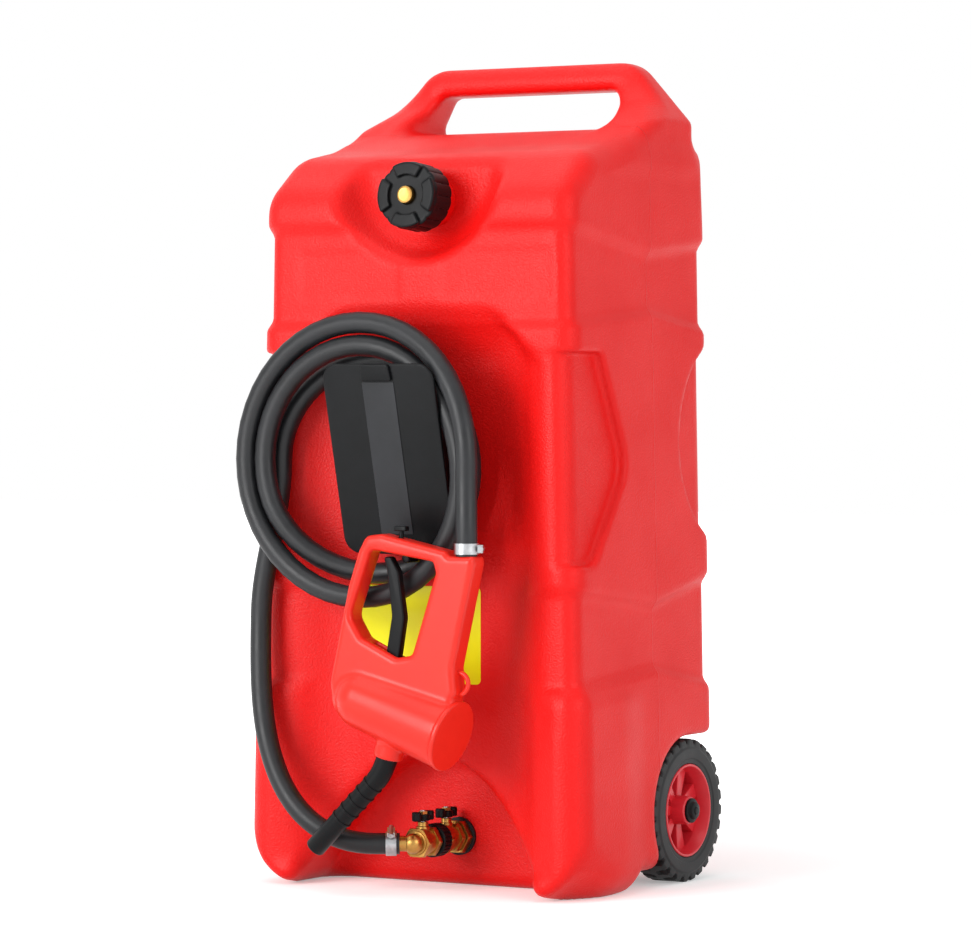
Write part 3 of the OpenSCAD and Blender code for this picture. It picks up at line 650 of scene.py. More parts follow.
FINISHES: dict[str, Finish] = {
    # Blow-moulded polyethylene: waxy red, its mould blasted to an orange-peel grain some 2 mm across.
    "tank_red": MouldedPlastic("polyethylene_red", "#E01210", "#D8100E", 0.42, 1.9, 0.62, 90.0, 0.22,
                               seam_y=26.0),
    # Injection-moulded ABS: a smoother, glossier red than the tank's.
    "nozzle_red": MouldedPlastic("abs_red", "#E22A1C", "#DA2418", 0.32, 1.6, 0.05, 60.0, 0.3),
    # Injection-moulded polypropylene: satin red, a little darker.
    "rim_red": MouldedPlastic("polypropylene_red", "#D62834", "#CC222E", 0.34, 1.8, 0.06, 40.0, 0.5),
    # Glass-filled nylon: charcoal black with a fine spark-eroded grain.
    "black_plastic": MouldedPlastic("nylon_black", "#101113", "#0C0D0E", 0.38, 1.1, 0.06, 30.0, 0.13),
    # Matt printed film on the plate.
    "strip_grey": MouldedPlastic("film_grey", "#2A2B2E", "#262729", 0.40, 1.3, 0.03, 30.0, 0.18),
    # Vinyl film: clear yellow, a soft gloss, hardly any grain.
    "label_yellow": MouldedPlastic("vinyl_yellow", "#E9E80C", "#E2E008", 0.36, 2.2, 0.03, 45.0, 0.26),
    # Machined brass: warm yellow metal that has dulled in patches.
    "brass": Metal("machined_brass", "#B88E4C", "#96703A", 0.28),
    # Zinc-plated steel: cool grey metal with a cloudy sheen.
    "steel": Metal("zinc_plated_steel", "#AEB0B2", "#8E9092", 0.28, 1.4, patch=7.0),
    # Extruded hose rubber: soft black, satin from its die.
    "hose_rubber": Rubber("hose_rubber", "#17181A", "#1E1F22", 0.42, 1.4, 0.05),
    # Seal rubber: dense and dull.
    "seal_rubber": Rubber("seal_rubber", "#17171A", "#202024", 0.62, 0.9, 0.06),
    # Tyre rubber: dull black, dusted grey where it rubs.
    "tyre_rubber": Rubber("tyre_rubber", "#18191A", "#242526", 0.55, 1.5, 0.16),
}


@dataclass
class Workshop:
    """Makes pieces from shapes, and keeps the materials."""

    frame: dict[str, Any]
    materials: dict[str, bpy.types.Material] = field(default_factory=dict)

    def material(self, slot: str) -> bpy.types.Material:
        """The material of a slot, made when it is first asked for."""
        if slot not in self.materials:
            self.materials[slot] = FINISHES[slot].build()
        return self.materials[slot]

    def piece(self, name: str, shape: Shape, slot: str, body: Body, *nodes: str,
              crease: float | None = 40.0) -> bpy.types.Object:
        """Turns a shape into an object that rides on a body.

        Args:
            name: Name of the piece.
            shape: Its points and faces, in the tank's millimetres.
            slot: Material slot that it takes its finish from.
            body: Body that it rides on.
            *nodes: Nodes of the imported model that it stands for.
            crease: Angle in degrees above which an edge stays sharp, or None for none.

        Returns:
            The object.
        """
        mesh = bpy.data.meshes.new(name)
        loops = np.concatenate([face.ravel() for face in shape.faces])
        widths = np.concatenate([np.full(len(face), face.shape[1]) for face in shape.faces])
        mesh.vertices.add(len(shape.points))
        mesh.vertices.foreach_set("co", placed(shape.points).ravel())
        mesh.loops.add(len(loops))
        mesh.loops.foreach_set("vertex_index", loops)
        mesh.polygons.add(len(widths))
        mesh.polygons.foreach_set("loop_start", np.cumsum(widths) - widths)
        mesh.polygons.foreach_set("use_smooth", np.ones(len(widths), bool))
        mesh.update(calc_edges=True)
        mesh.validate()
        if crease is not None:
            mesh.set_sharp_from_angle(angle=math.radians(crease))
        mesh.materials.append(self.material(slot))
        made = bpy.data.objects.new(name, mesh)
        bpy.context.scene.collection.objects.link(made)
        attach(made, body.value)
        if nodes:
            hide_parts(*nodes)
        LOG.info("%s: %d faces on %s", name, len(widths), body.value)
        return made

    def dress(self, slots: dict[str, tuple[str, ...]]) -> None:
        """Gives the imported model's own nodes their materials.

        Args:
            slots: Nodes for each slot.
        """
        for slot, nodes in slots.items():
            for node in nodes:
                for place in self.frame["nodes"][node].material_slots:
                    place.material = self.material(slot)
                LOG.info("%s keeps its solid, in %s", node, slot)


# The hose


@dataclass
class FuelHose:
    """The hose: off the outlet, up to the hub, two and a half turns round it and down to the nozzle."""

    diameter: float = 22.0
    outlet: Triple = (4.0, -146.0, 52.0)
    barb: float = 14.0
    turn: float = 60.0
    foot: Triple = (-154.0, -176.0, 148.0)
    foot_way: Triple = (-0.37, 0.14, 0.92)
    side: Triple = (-175.0, -159.5, 285.0)
    side_way: Triple = (0.0, 0.03, 1.0)
    handles: tuple[Pair, ...] = ((80.0, 35.0), (45.0, 45.0), (55.0, 60.0))
    steps: tuple[int, ...] = (24, 16, 18)
    middle: Pair = (-38.0, 447.0)
    turns: float = 2.5
    inlet: Triple = (107.0, NOZZLE_Y, 352.0)
    loop_low: float = 104.0
    lead_in: float = 8.0
    lead_turns: Pair = (0.0, 0.25)
    loop_step: float = 13.5
    loop_turns: Pair = (0.38, 0.32)
    last_step: float = 23.5
    last_turns: Pair = (1.42, 0.3)
    lead_y: float = -158.0
    layer_y: float = -142.0
    layer_turns: Pair = (0.68, 0.27)
    front_y: float = -182.5
    front_sway: float = 2.0
    end_move: float = 19.5
    end_turns: Pair = (2.26, 0.24)
    drop: Pair = (0.12, 0.66)
    straight: float = 24.0

    def coil(self, t: Array) -> Array:
        """Points of the coil after t turns, clockwise from the hub's left side.

        The radius grows from loop_low in eased steps and the loops move from the rear layer to the front.
        """
        start = over(t, self.lead_turns)
        radius = self.loop_low + self.lead_in * (1.0 - start) + self.loop_step * over(t, self.loop_turns)
        radius = radius + self.last_step * over(t, self.last_turns)
        rear = self.lead_y + (self.layer_y - self.lead_y) * start
        front = self.front_y - self.front_sway * np.cos(np.radians(200.0 - 360.0 * t))
        layer = over(t, self.layer_turns)
        depth = rear * (1.0 - layer) + front * layer - self.end_move * over(t, self.end_turns)
        angle = np.radians(180.0 - 360.0 * t)
        return np.stack([self.middle[0] + radius * np.cos(angle), depth,
                         self.middle[1] + radius * np.sin(angle)], axis=-1)

    @staticmethod
    def bezier(a: Array, b: Array, c: Array, d: Array, count: int) -> Array:
        """Cubic curve through a and d with the handles b and c, without its first point."""
        u = np.linspace(0.0, 1.0, count + 1)[1:, None]
        w = 1.0 - u
        return a * w ** 3 + 3.0 * b * u * w ** 2 + 3.0 * c * u ** 2 * w + d * u ** 3

    def path(self) -> Array:
        """Centre line from the outlet's barb to the nozzle's inlet."""
        angle = math.radians(self.turn)
        way = np.array([-math.sin(angle), -math.cos(angle), 0.0])
        start = np.array(self.outlet) + self.barb * way
        coil = self.coil(np.linspace(0.0, self.turns, int(48 * self.turns) + 1))
        knots = [(start + self.straight * way, way), (np.array(self.foot), unit(self.foot_way)),
                 (np.array(self.side), unit(self.side_way)), (coil[0], np.array([0.0, 0.0, 1.0]))]
        lead = [start + np.linspace(0.0, self.straight, 5)[:, None] * way]
        for (a, a_way), (b, b_way), (out, back), count in zip(knots, knots[1:], self.handles, self.steps):
            lead.append(self.bezier(a, a + out * a_way, b - back * b_way, b, count))
        u = np.linspace(0.0, 1.0, 17)[1:, None]
        eased = over(u, self.drop)
        tail = coil[-1] + (np.array(self.inlet) - coil[-1]) * np.concatenate([eased, eased, u], axis=1)
        return np.concatenate(lead + [coil[1:], tail])

    def build(self, shop: Workshop) -> bpy.types.Object:
        """Makes the hose as one tube."""
        return shop.piece("fuel_hose", tube(self.path(), self.diameter / 2.0, 28, (0.0, 1.0, 0.0)),
                          "hose_rubber", Body.TANK, "hose_lead", "hose_coil", "hose_tail", crease=60.0)


# The tank


@dataclass
class TankShell:
    """The blow-moulded tank with its dish, hose trough, bands, scoops, arch, wheel wells and handle."""

    half_low: float = 201.5
    half_high: float = 185.0
    front_y: float = -144.0
    rear_y: float = 155.0
    crest_z: float = 787.0
    edge_r: float = 25.0
    band_depth: float = 6.5
    part_y: float = 26.0
    scoop_deep: float = 10.0
    trough_y: float = TROUGH_Y
    dish_y: float = DISH_Y
    dish_z: float = 754.0
    arch_y: float = -54.0
    wheel: Pair = WHEEL
    well_r: float = 79.0
    well_x: float = 150.0
    foot_out: float = 5.0
    foot_top: float = 216.0
    foot_corner: Triple = (16.0, -10.0, 112.0)
    foot_slack: float = 18.0
    plate_depth: float = 1.1
    bare: tuple[tuple[float, float, float, float], ...] = (
        (-80.0, 637.0, 61.0, 25.0), (98.0, 637.0, 67.0, 25.0),
        (-122.0, 190.0, 58.0, 20.0), (120.0, 190.0, 58.0, 20.0))
    trough_half: float = 108.0
    trough_slope: Pair = (28.0, 43.0)
    trough_top: float = 574.0
    dish_r: float = 85.0
    dish_slope: float = 21.0 / 45.0
    cell: float = 4.2

    def __post_init__(self) -> None:
        """Works out the outlines that the field reads."""
        self.lean = math.atan((self.half_low - self.half_high) / self.crest_z)
        self.front = rounded(mirrored([(self.half_low + 4.0, -30.0, 0.0), (self.half_high, 773.0, 26.0),
                                       (95.0, 793.0, 0.0)]))
        out, below, corner = self.foot_corner
        reach = self.half_low + out
        self.base = rounded(mirrored([(reach, below, corner), (reach, 900.0, 0.0)]), 12)
        front, rear = self.front_y, self.rear_y
        crest = self.crest_z
        self.profile = rounded([(front, 0.0, 14.0), (-20.0, 0.0, 0.0), (0.0, 18.0, 0.0),
                                (rear, 18.0, 35.0), (rear + 4.0, 690.0, 60.0), (rear, crest, 35.0),
                                (50.0, crest, 90.0), (-90.0, 762.0, 60.0), (front, 720.0, 40.0)])
        self.upper = self.band((583.0, 600.0, 579.0), (690.0, 659.0, 675.0))
        self.lower = self.band((212.0, 229.0, 202.0), (317.0, 295.0, 327.0))
        self.front_scoop = rounded([(front - 30.0, 340.0, 0.0), (front + 42.0, 340.0, 22.0),
                                    (front + 116.0, 440.0, 45.0), (front + 64.0, 557.0, 10.0),
                                    (front - 30.0, 557.0, 0.0)], 6)
        round_end = np.radians(np.linspace(70.0, 290.0, 45))
        self.rear_scoop = np.column_stack([rear + 40.0 + 111.0 * np.cos(round_end),
                                           463.0 + 112.0 * np.sin(round_end)])
        self.face = rounded([(-175.0, 20.0, 0.0), (175.0, 20.0, 0.0), (175.0, 545.0, 0.0),
                             (132.0, 560.0, 30.0), (78.0, 622.0, 45.0), (-78.0, 622.0, 45.0),
                             (-132.0, 560.0, 30.0), (-175.0, 545.0, 0.0)], 6)
        across = np.linspace(150.0, -150.0, 31)
        vault = np.column_stack([across, 142.0 * (1.0 - (across / 150.0) ** 2)])
        self.arch = np.concatenate([[[-150.0, -60.0], [150.0, -60.0]], vault])
        self.grip = rounded(mirrored([(183.0, 740.0, 0.0), (183.0, 801.0, 12.0), (124.0, 866.0, 40.0)]))
        self.gap = rounded(mirrored([(132.0, 790.0, 12.0), (108.0, 836.0, 14.0)]), 5)
        self.grip_side = rounded([(-62.0, 742.0, 0.0), (136.0, 742.0, 0.0), (136.0, 900.0, 0.0),
                                  (92.0, 900.0, 0.0), (90.0, 830.0, 35.0)], 6)

    def band(self, low: Triple, high: Triple) -> Array:
        """A band seen from the side, by its heights in front, at the parting line and behind."""
        front, part, rear = self.front_y - 20.0, self.part_y, self.rear_y + 20.0
        return rounded([(front, low[0], 0.0), (part, low[1], 6.0), (rear, low[2], 0.0),
                        (rear, high[2], 0.0), (part, high[1], 6.0), (front, high[0], 0.0)], 3)

    def bands(self, y: Array, z: Array) -> Array:
        """Depth of the two bands: an eased step 14 mm wide at their edges."""
        inside = np.minimum(outline_field(self.upper, y, z), outline_field(self.lower, y, z))
        return self.band_depth * ease(0.5 - inside / 14.0)

    def foot(self, y: Array, z: Array) -> Array:
        """How far the front foot stands out below the lower band."""
        return self.foot_out * ease((self.foot_top - z) / 20.0) * ease(-y / 60.0)

    def plates(self, x: Array, y: Array, z: Array) -> Array:
        """Depth of the bare plates on the front, sunk by about a millimetre."""
        near = np.minimum.reduce([plate_field(x, z, (u, v), (wide, high), 4.0)
                                  for u, v, wide, high in self.bare])
        return self.plate_depth * ease(0.5 - near / 5.0) * (y < -90.0)

    def trough(self, x: Array, y: Array, z: Array) -> Array:
        """The hose trough: a floor, sloping sides and top, within the outline on the front."""
        floor = y - self.trough_y
        deep, run = self.trough_slope
        slope = ((np.abs(x) - self.trough_half) * deep + floor * run) / math.hypot(deep, run)
        rise = (floor + z - self.trough_top) / math.sqrt(2.0)
        hollow = cut(cut(floor, slope, 16.0), rise, 20.0)
        return cut(hollow, outline_field(self.face, x, z), 14.0)

    def dish(self, x: Array, y: Array, z: Array) -> Array:
        """The round dish of the filler: a cone with a flat floor."""
        floor = y - self.dish_y
        wide = self.dish_r - floor * self.dish_slope
        cone = (np.hypot(x, z - self.dish_z) - wide) * math.cos(math.atan(self.dish_slope))
        return cut(floor, cone, 16.0)

    def scoops(self, side: Array, y: Array, z: Array) -> Array:
        """The scoops on the upright edges: a flat floor that runs out over the edge, and a curved end."""
        floor = cut(side + self.scoop_deep, outline_field(self.profile, y, z), self.edge_r)
        ends = np.minimum(outline_field(self.front_scoop, y, z), outline_field(self.rear_scoop, y, z))
        return cut(ends, -floor, 4.0)

    def wells(self, x: Array, y: Array, z: Array) -> Array:
        """The two wheel wells, round in front and open to the rear."""
        round_end = np.hypot(y - self.wheel[0], z - self.wheel[1]) - self.well_r
        open_end = np.maximum(self.wheel[0] - y, z - self.wheel[1] - self.well_r)
        return cut(np.minimum(round_end, open_end), self.well_x - np.abs(x), 9.0)

    def handle(self, x: Array, y: Array, z: Array) -> Array:
        """The loop handle: an outline with a gap, its edges rounded to a bar."""
        bar = cut(outline_field(self.grip, x, z), outline_field(self.grip_side, y, z), 17.0)
        return cut(bar, -outline_field(self.gap, x, z), 13.0)

    def field(self, x: Array, y: Array, z: Array) -> Array:
        """Signed field of the whole tank, from its drawn outlines and hollows."""
        side = (np.abs(x) - self.half_low) * math.cos(self.lean) + z * math.sin(self.lean)
        body = cut(side, outline_field(self.profile, y, z), self.edge_r)
        body = np.maximum(body, outline_field(self.front, x, z))
        body = body + self.bands(y, z) + self.plates(x, y, z) - self.foot(y, z)
        corners = outline_field(self.base, x, z) - self.foot_slack * ease((y - self.front_y) / 80.0)
        body = cut(body, corners, 10.0)
        body = np.maximum(body, -z)
        body = cut(body, -self.trough(x, y, z), 12.0)
        body = cut(body, -self.dish(x, y, z), 9.0)
        body = cut(body, -self.scoops(side, y, z), 4.0)
        arch = cut(outline_field(self.arch, x, z), y - self.arch_y, 22.0)
        body = cut(body, -arch, 14.0)
        body = cut(body, -self.wells(x, y, z), 8.0)
        return join(body, self.handle(x, y, z), 14.0)

    def build(self, shop: Workshop) -> None:
        """Makes the tank's skin and its filler neck."""
        low = (-self.half_low - 9.0, self.front_y - 9.0, -9.0)
        high = (self.half_low + 9.0, self.rear_y + 9.0, 878.0)
        shell = skin(self.field, low, high, self.cell)
        neck = lathe([(27.0, -6.0, 0.0), (26.0, 4.0, 0.0), (26.0, 41.0, 2.0), (20.0, 42.0, 2.0),
                      (20.0, -12.0, 0.0)], 64)
        whole = shell.plus(neck.moved(Frame.tipped(*FILLER)))
        shop.piece("tank_body", whole, "tank_red", Body.TANK, "tank_shell", crease=None)


# The wheels


@dataclass
class Wheel:
    """A wheel: treaded tyre, spoked rim and the cap on the end of the axle."""

    side: Side
    centre: Pair = WHEEL
    inner_x: float = 156.0
    diameter: float = 151.0
    width: float = 40.0
    rim_d: float = 98.0
    spokes: int = 7
    lugs: int = 28
    groove: float = 4.2
    groove_edge: Pair = (0.56, 0.16)
    rib_edge: Pair = (0.16, 0.12)
    slant: float = 0.35

    @property
    def frame(self) -> Frame:
        """The wheel's frame, whose w axis points away from the tank."""
        sign = float(self.side.value)
        return Frame((sign * self.inner_x, self.centre[0], self.centre[1]), (0.0, 0.0, -sign),
                     (0.0, 1.0, 0.0), (sign, 0.0, 0.0))

    @property
    def word(self) -> str:
        """The side's name, as it stands in node names."""
        return self.side.name.lower()

    def tread(self, radius: Array, height: Array, angle: Array) -> Array:
        """Radius with the tread: slanted grooves cut from both shoulders, half a lug apart."""
        outer = self.diameter / 2.0
        across = (height - self.width / 2.0) / (self.width / 2.0)
        turn = angle * self.lugs / (2.0 * math.pi) + 0.5 * (across > 0.0) + self.slant * np.abs(across)
        wave = np.abs(np.mod(turn, 1.0) - 0.5) * 2.0
        groove = over(wave, self.groove_edge) * over(np.abs(across), self.rib_edge)
        return radius - self.groove * groove * over(radius, (outer - 9.0, 4.0))

    def tyre(self) -> Shape:
        """The tyre's profile turned round: bead, flat sidewall band, shoulder and treaded face."""
        rim = self.rim_d / 2.0
        outer = self.diameter / 2.0
        half = [(rim, 4.0, 0.0), (rim + 0.6, 1.6, 1.0), (rim + 5.0, 1.6, 1.2), (rim + 6.5, 0.4, 1.0),
                (rim + 16.0, 0.0, 2.0), (rim + 18.0, 1.2, 1.0), (outer - 1.5, 1.6, 1.5), (outer, 4.0, 1.5)]
        other = [(r, self.width - h, round_r) for r, h, round_r in reversed(half)]
        middle = [(outer, h, 0.0) for h in np.linspace(10.0, self.width - 10.0, 9)]
        return lathe(half + middle + other, 12 * self.lugs, swell=self.tread)

    def rim(self) -> Shape:
        """Barrel with a flared lip, hub and tapered spokes."""
        rim = self.rim_d / 2.0
        width = self.width
        barrel = turned(rounded([(rim, 1.0, 1.0), (rim, width - 1.0, 1.0), (rim - 2.5, width - 1.0, 1.0),
                                 (rim - 6.5, width - 14.0, 3.0), (rim - 7.0, 8.0, 3.0),
                                 (rim - 3.0, 1.0, 1.0)], 3), 96, True)
        hub = lathe([(6.2, -2.6, 0.0), (14.0, -2.6, 1.5), (16.0, width / 2.0, 0.0),
                     (14.5, width + 0.6, 2.0), (6.2, width + 0.6, 0.0)], 64)
        far = rim - 5.0
        arm = rounded([(11.0, -4.5, 0.0), (far, -8.5, 0.0), (far, 8.5, 0.0), (11.0, 4.5, 0.0)])
        spoke = slab(arm, 12.0, 25.0, 1.2)
        parts = []
        for index in range(self.spokes):
            turn = 2.0 * math.pi * index / self.spokes + 0.2
            c, s = math.cos(turn), math.sin(turn)
            spin = np.array([[c, s, 0.0], [-s, c, 0.0], [0.0, 0.0, 1.0]])
            parts.append(Shape(spoke.points @ spin, spoke.faces))
        return barrel.plus(hub, *parts)

    def cap(self) -> Shape:
        """Push-on cap: a flange, a tapered boss and a small nose."""
        return lathe([(6.1, 0.0, 0.0), (13.0, 0.0, 0.0), (13.0, 2.4, 1.0), (9.6, 3.0, 0.6),
                      (8.8, 6.2, 1.2), (4.6, 6.8, 0.6), (4.0, 7.9, 0.6), (0.6, 8.0, 0.0)], 48, False)

    def build(self, shop: Workshop) -> None:
        """Makes tyre, rim and cap."""
        body = Body.WHEEL_LEFT if self.side is Side.LEFT else Body.WHEEL_RIGHT
        shop.piece(f"treaded_tyre_{self.word}", self.tyre().moved(self.frame), "tyre_rubber", body,
                   f"tyre_{self.word}")
        shop.piece(f"spoked_rim_{self.word}", self.rim().moved(self.frame), "rim_red", body,
                   f"wheel_rim_{self.word}")
        beyond = np.array([0.0, 0.0, self.width + 1.0])
        cap = self.cap()
        outer = Shape(cap.points + beyond, cap.faces).moved(self.frame)
        shop.piece(f"axle_cap_{self.word}", outer, "black_plastic", Body.TANK, f"push_cap_{self.word}")


# The filler cap


@dataclass
class FillerCap:
    """Screw cap with a faceted skirt, four grip lobes and a brass vent button."""

    radius: float = 35.0
    skirt: float = 20.0
    face: float = 52.0
    lobe: float = 57.0
    vent_r: float = 9.0
    vent_cup: float = 36.0
    vent_base: float = 44.0
    vent_travel: float = 3.0
    neck_r: float = 26.6
    neck_top: float = 44.5
    notch_turn: float = 32.0
    lobe_in: float = 21.0
    facets: int = 16
    facet_deep: float = 0.9
    facet_line: float = 0.8
    place: Frame = Frame.tipped(*FILLER)

    def field(self, x: Array, y: Array, z: Array) -> Array:
        """Signed field of the cap: faceted skirt, lobes between four notches, cup and hollow."""
        u, v, w = self.place.local(x, y, z)
        out = np.hypot(u, v)
        angle = np.arctan2(v, u)
        step = np.mod(angle * self.facets / (2.0 * math.pi), 1.0) - 0.5
        bow = self.facet_deep * (1.0 - np.cos(step * math.pi)) + self.facet_line * (np.abs(step) > 0.46)
        skirt = cut(out - self.radius + bow, np.maximum(self.skirt - w, w - self.face), 2.4)
        quarter = math.pi / 2.0
        sector = np.abs(np.mod(angle + quarter / 2.0, quarter) - quarter / 2.0)
        gap = (sector - math.radians(self.notch_turn)) * out
        ring = cut(out - (self.radius - 1.0), np.maximum(self.lobe_in - out, w - self.lobe), 2.0)
        lobes = cut(cut(ring, gap, 2.0), self.face - 4.0 - w, 0.5)
        whole = join(skirt, lobes, 1.5)
        cup = np.maximum(out - self.vent_r - 0.25, self.vent_cup - w)
        hollow = np.maximum(np.maximum(out - self.neck_r, w - self.neck_top), self.vent_r + 4.0 - out)
        return np.maximum(np.maximum(whole, -cup), -hollow)

    def build(self, shop: Workshop) -> None:
        """Makes the cap, its button and the button's spring."""
        shop.piece("screw_cap", skin(self.field, (-42.0, -162.0, 676.0), (42.0, -110.0, 762.0), 1.1),
                   "black_plastic", Body.CAP, "cap_body", crease=None)
        base = self.vent_base
        r = self.vent_r
        button = lathe([(0.5, base, 0.0), (r, base, 0.5), (r, 57.6, 1.0), (r - 2.2, 58.3, 0.6),
                        (r - 3.4, 58.2, 0.5), (0.5, 58.2, 0.0)], 48, False)
        shop.piece("brass_button", button.moved(self.place), "brass", Body.VENT, "vent_button")
        room = base - self.vent_cup
        axis = np.array(self.place.w)
        floor = np.array(self.place.origin) + self.vent_cup * axis
        cup_frame = Frame(tuple(floor), self.place.u, self.place.v, self.place.w)
        coil = spring(room - 0.1, r - 1.5, 0.5, 4).moved(cup_frame)
        piece = shop.piece("vent_coil", coil, "steel", Body.CAP, "vent_spring", crease=None)
        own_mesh(piece)


# The hanger and the label


@dataclass
class HoseHanger:
    """Hanger for the hose: flange, hub, leaning plate with a ledge and a bare strip, and a peg."""

    low: Pair = (-164.0, 350.0)
    high: Pair = (-212.0, 545.0)
    width: float = 133.0
    thick: float = 4.0
    trough_y: float = TROUGH_Y
    hub: Pair = (480.0, 40.0)
    peg: Pair = (30.0, 347.95)

    def __post_init__(self) -> None:
        """Works out the plate's frame and length."""
        rise = self.high[1] - self.low[1]
        lean = self.low[0] - self.high[0]
        self.length = math.hypot(rise, lean)
        self.slope = lean / rise
        self.plate = Frame.tipped((0.0, *self.low), 90.0 + math.degrees(math.atan(self.slope)))

    def plate_y(self, z: Array) -> Array:
        """Depth of the plate's front at a height."""
        return self.low[0] - (z - self.low[1]) * self.slope

    def hub_shape(self) -> Shape:
        """The hub: an arched outline carried from the trough's floor to the back of the plate."""
        angle = np.radians(np.linspace(0.0, 180.0, 33))
        arch = np.column_stack([self.hub[1] * np.cos(angle), self.hub[0] + self.hub[1] * np.sin(angle)])
        outline = np.concatenate([[[-self.hub[1], 410.0], [self.hub[1], 410.0]], arch])
        near = np.column_stack([outline[:, 0], np.full(len(outline), self.trough_y), outline[:, 1]])
        far = np.column_stack([outline[:, 0], self.plate_y(outline[:, 1]) + 2.0, outline[:, 1]])
        return rings(np.stack([near, far]))

    def build(self, shop: Workshop) -> None:
        """Makes the hanger and its strip."""
        half = self.width / 2.0
        outline = rounded(mirrored([(half, 0.0, 18.0), (half, self.length, 18.0)]), 10)
        board = slab(outline, -self.thick, 0.0, 1.6).moved(self.plate)
        ledge = slab(rounded([(-18.0, self.length - 17.0, 2.0), (18.0, self.length - 17.0, 2.0),
                              (16.0, self.length, 3.0), (-16.0, self.length, 3.0)]), -1.0, 4.0, 1.2)
        lug = slab(rounded([(self.peg[0] - 8.0, -10.0, 3.0), (self.peg[0] + 8.0, -10.0, 3.0),
                            (self.peg[0] + 8.0, 18.0, 0.0), (self.peg[0] - 8.0, 18.0, 0.0)]),
                   -self.thick, -0.2, 1.0)
        upright = Frame.tipped((0.0, self.trough_y, 0.0), 90.0)
        flange = slab(rounded(mirrored([(46.0, 398.0, 8.0), (46.0, 512.0, 8.0)])), 0.0, 4.0, 1.0)
        pin = [(0.5, 46.0, 0.0), (4.5, 46.0, 0.0), (4.5, 87.0, 1.5), (0.5, 87.0, 0.0)]
        peg = turned(rounded(pin, 4, False), 32)
        peg_frame = Frame.tipped((self.peg[0], self.trough_y, self.peg[1]), 90.0)
        whole = board.plus(ledge.moved(self.plate), lug.moved(self.plate), flange.moved(upright),
                           self.hub_shape(), peg.moved(peg_frame))
        shop.piece("hose_rest", whole, "black_plastic", Body.TANK, "hose_hanger", crease=35.0)
        edge = mirrored([(19.0, 22.0, 1.0), (19.0, self.length - 19.0, 1.0)])
        strip = slab(rounded(edge), -0.3, 0.8, 0.3)
        shop.piece("bare_strip", strip.moved(self.plate), "strip_grey", Body.TANK, "plate_strip")


@dataclass
class Label:
    """The bare label on the trough's floor."""

    trough_y: float = TROUGH_Y

    def build(self, shop: Workshop) -> None:
        """Makes the label with rounded corners."""
        place = Frame.tipped((0.0, self.trough_y, 0.0), 90.0)
        corners = [(-103.0, 216.0, 5.0), (67.0, 216.0, 5.0), (67.0, 316.0, 5.0), (-103.0, 316.0, 5.0)]
        shop.piece("bare_label", slab(rounded(corners, 6), -0.2, 0.6, 0.2).moved(place), "label_yellow",
                   Body.TANK, "label_plate")


# The outlet


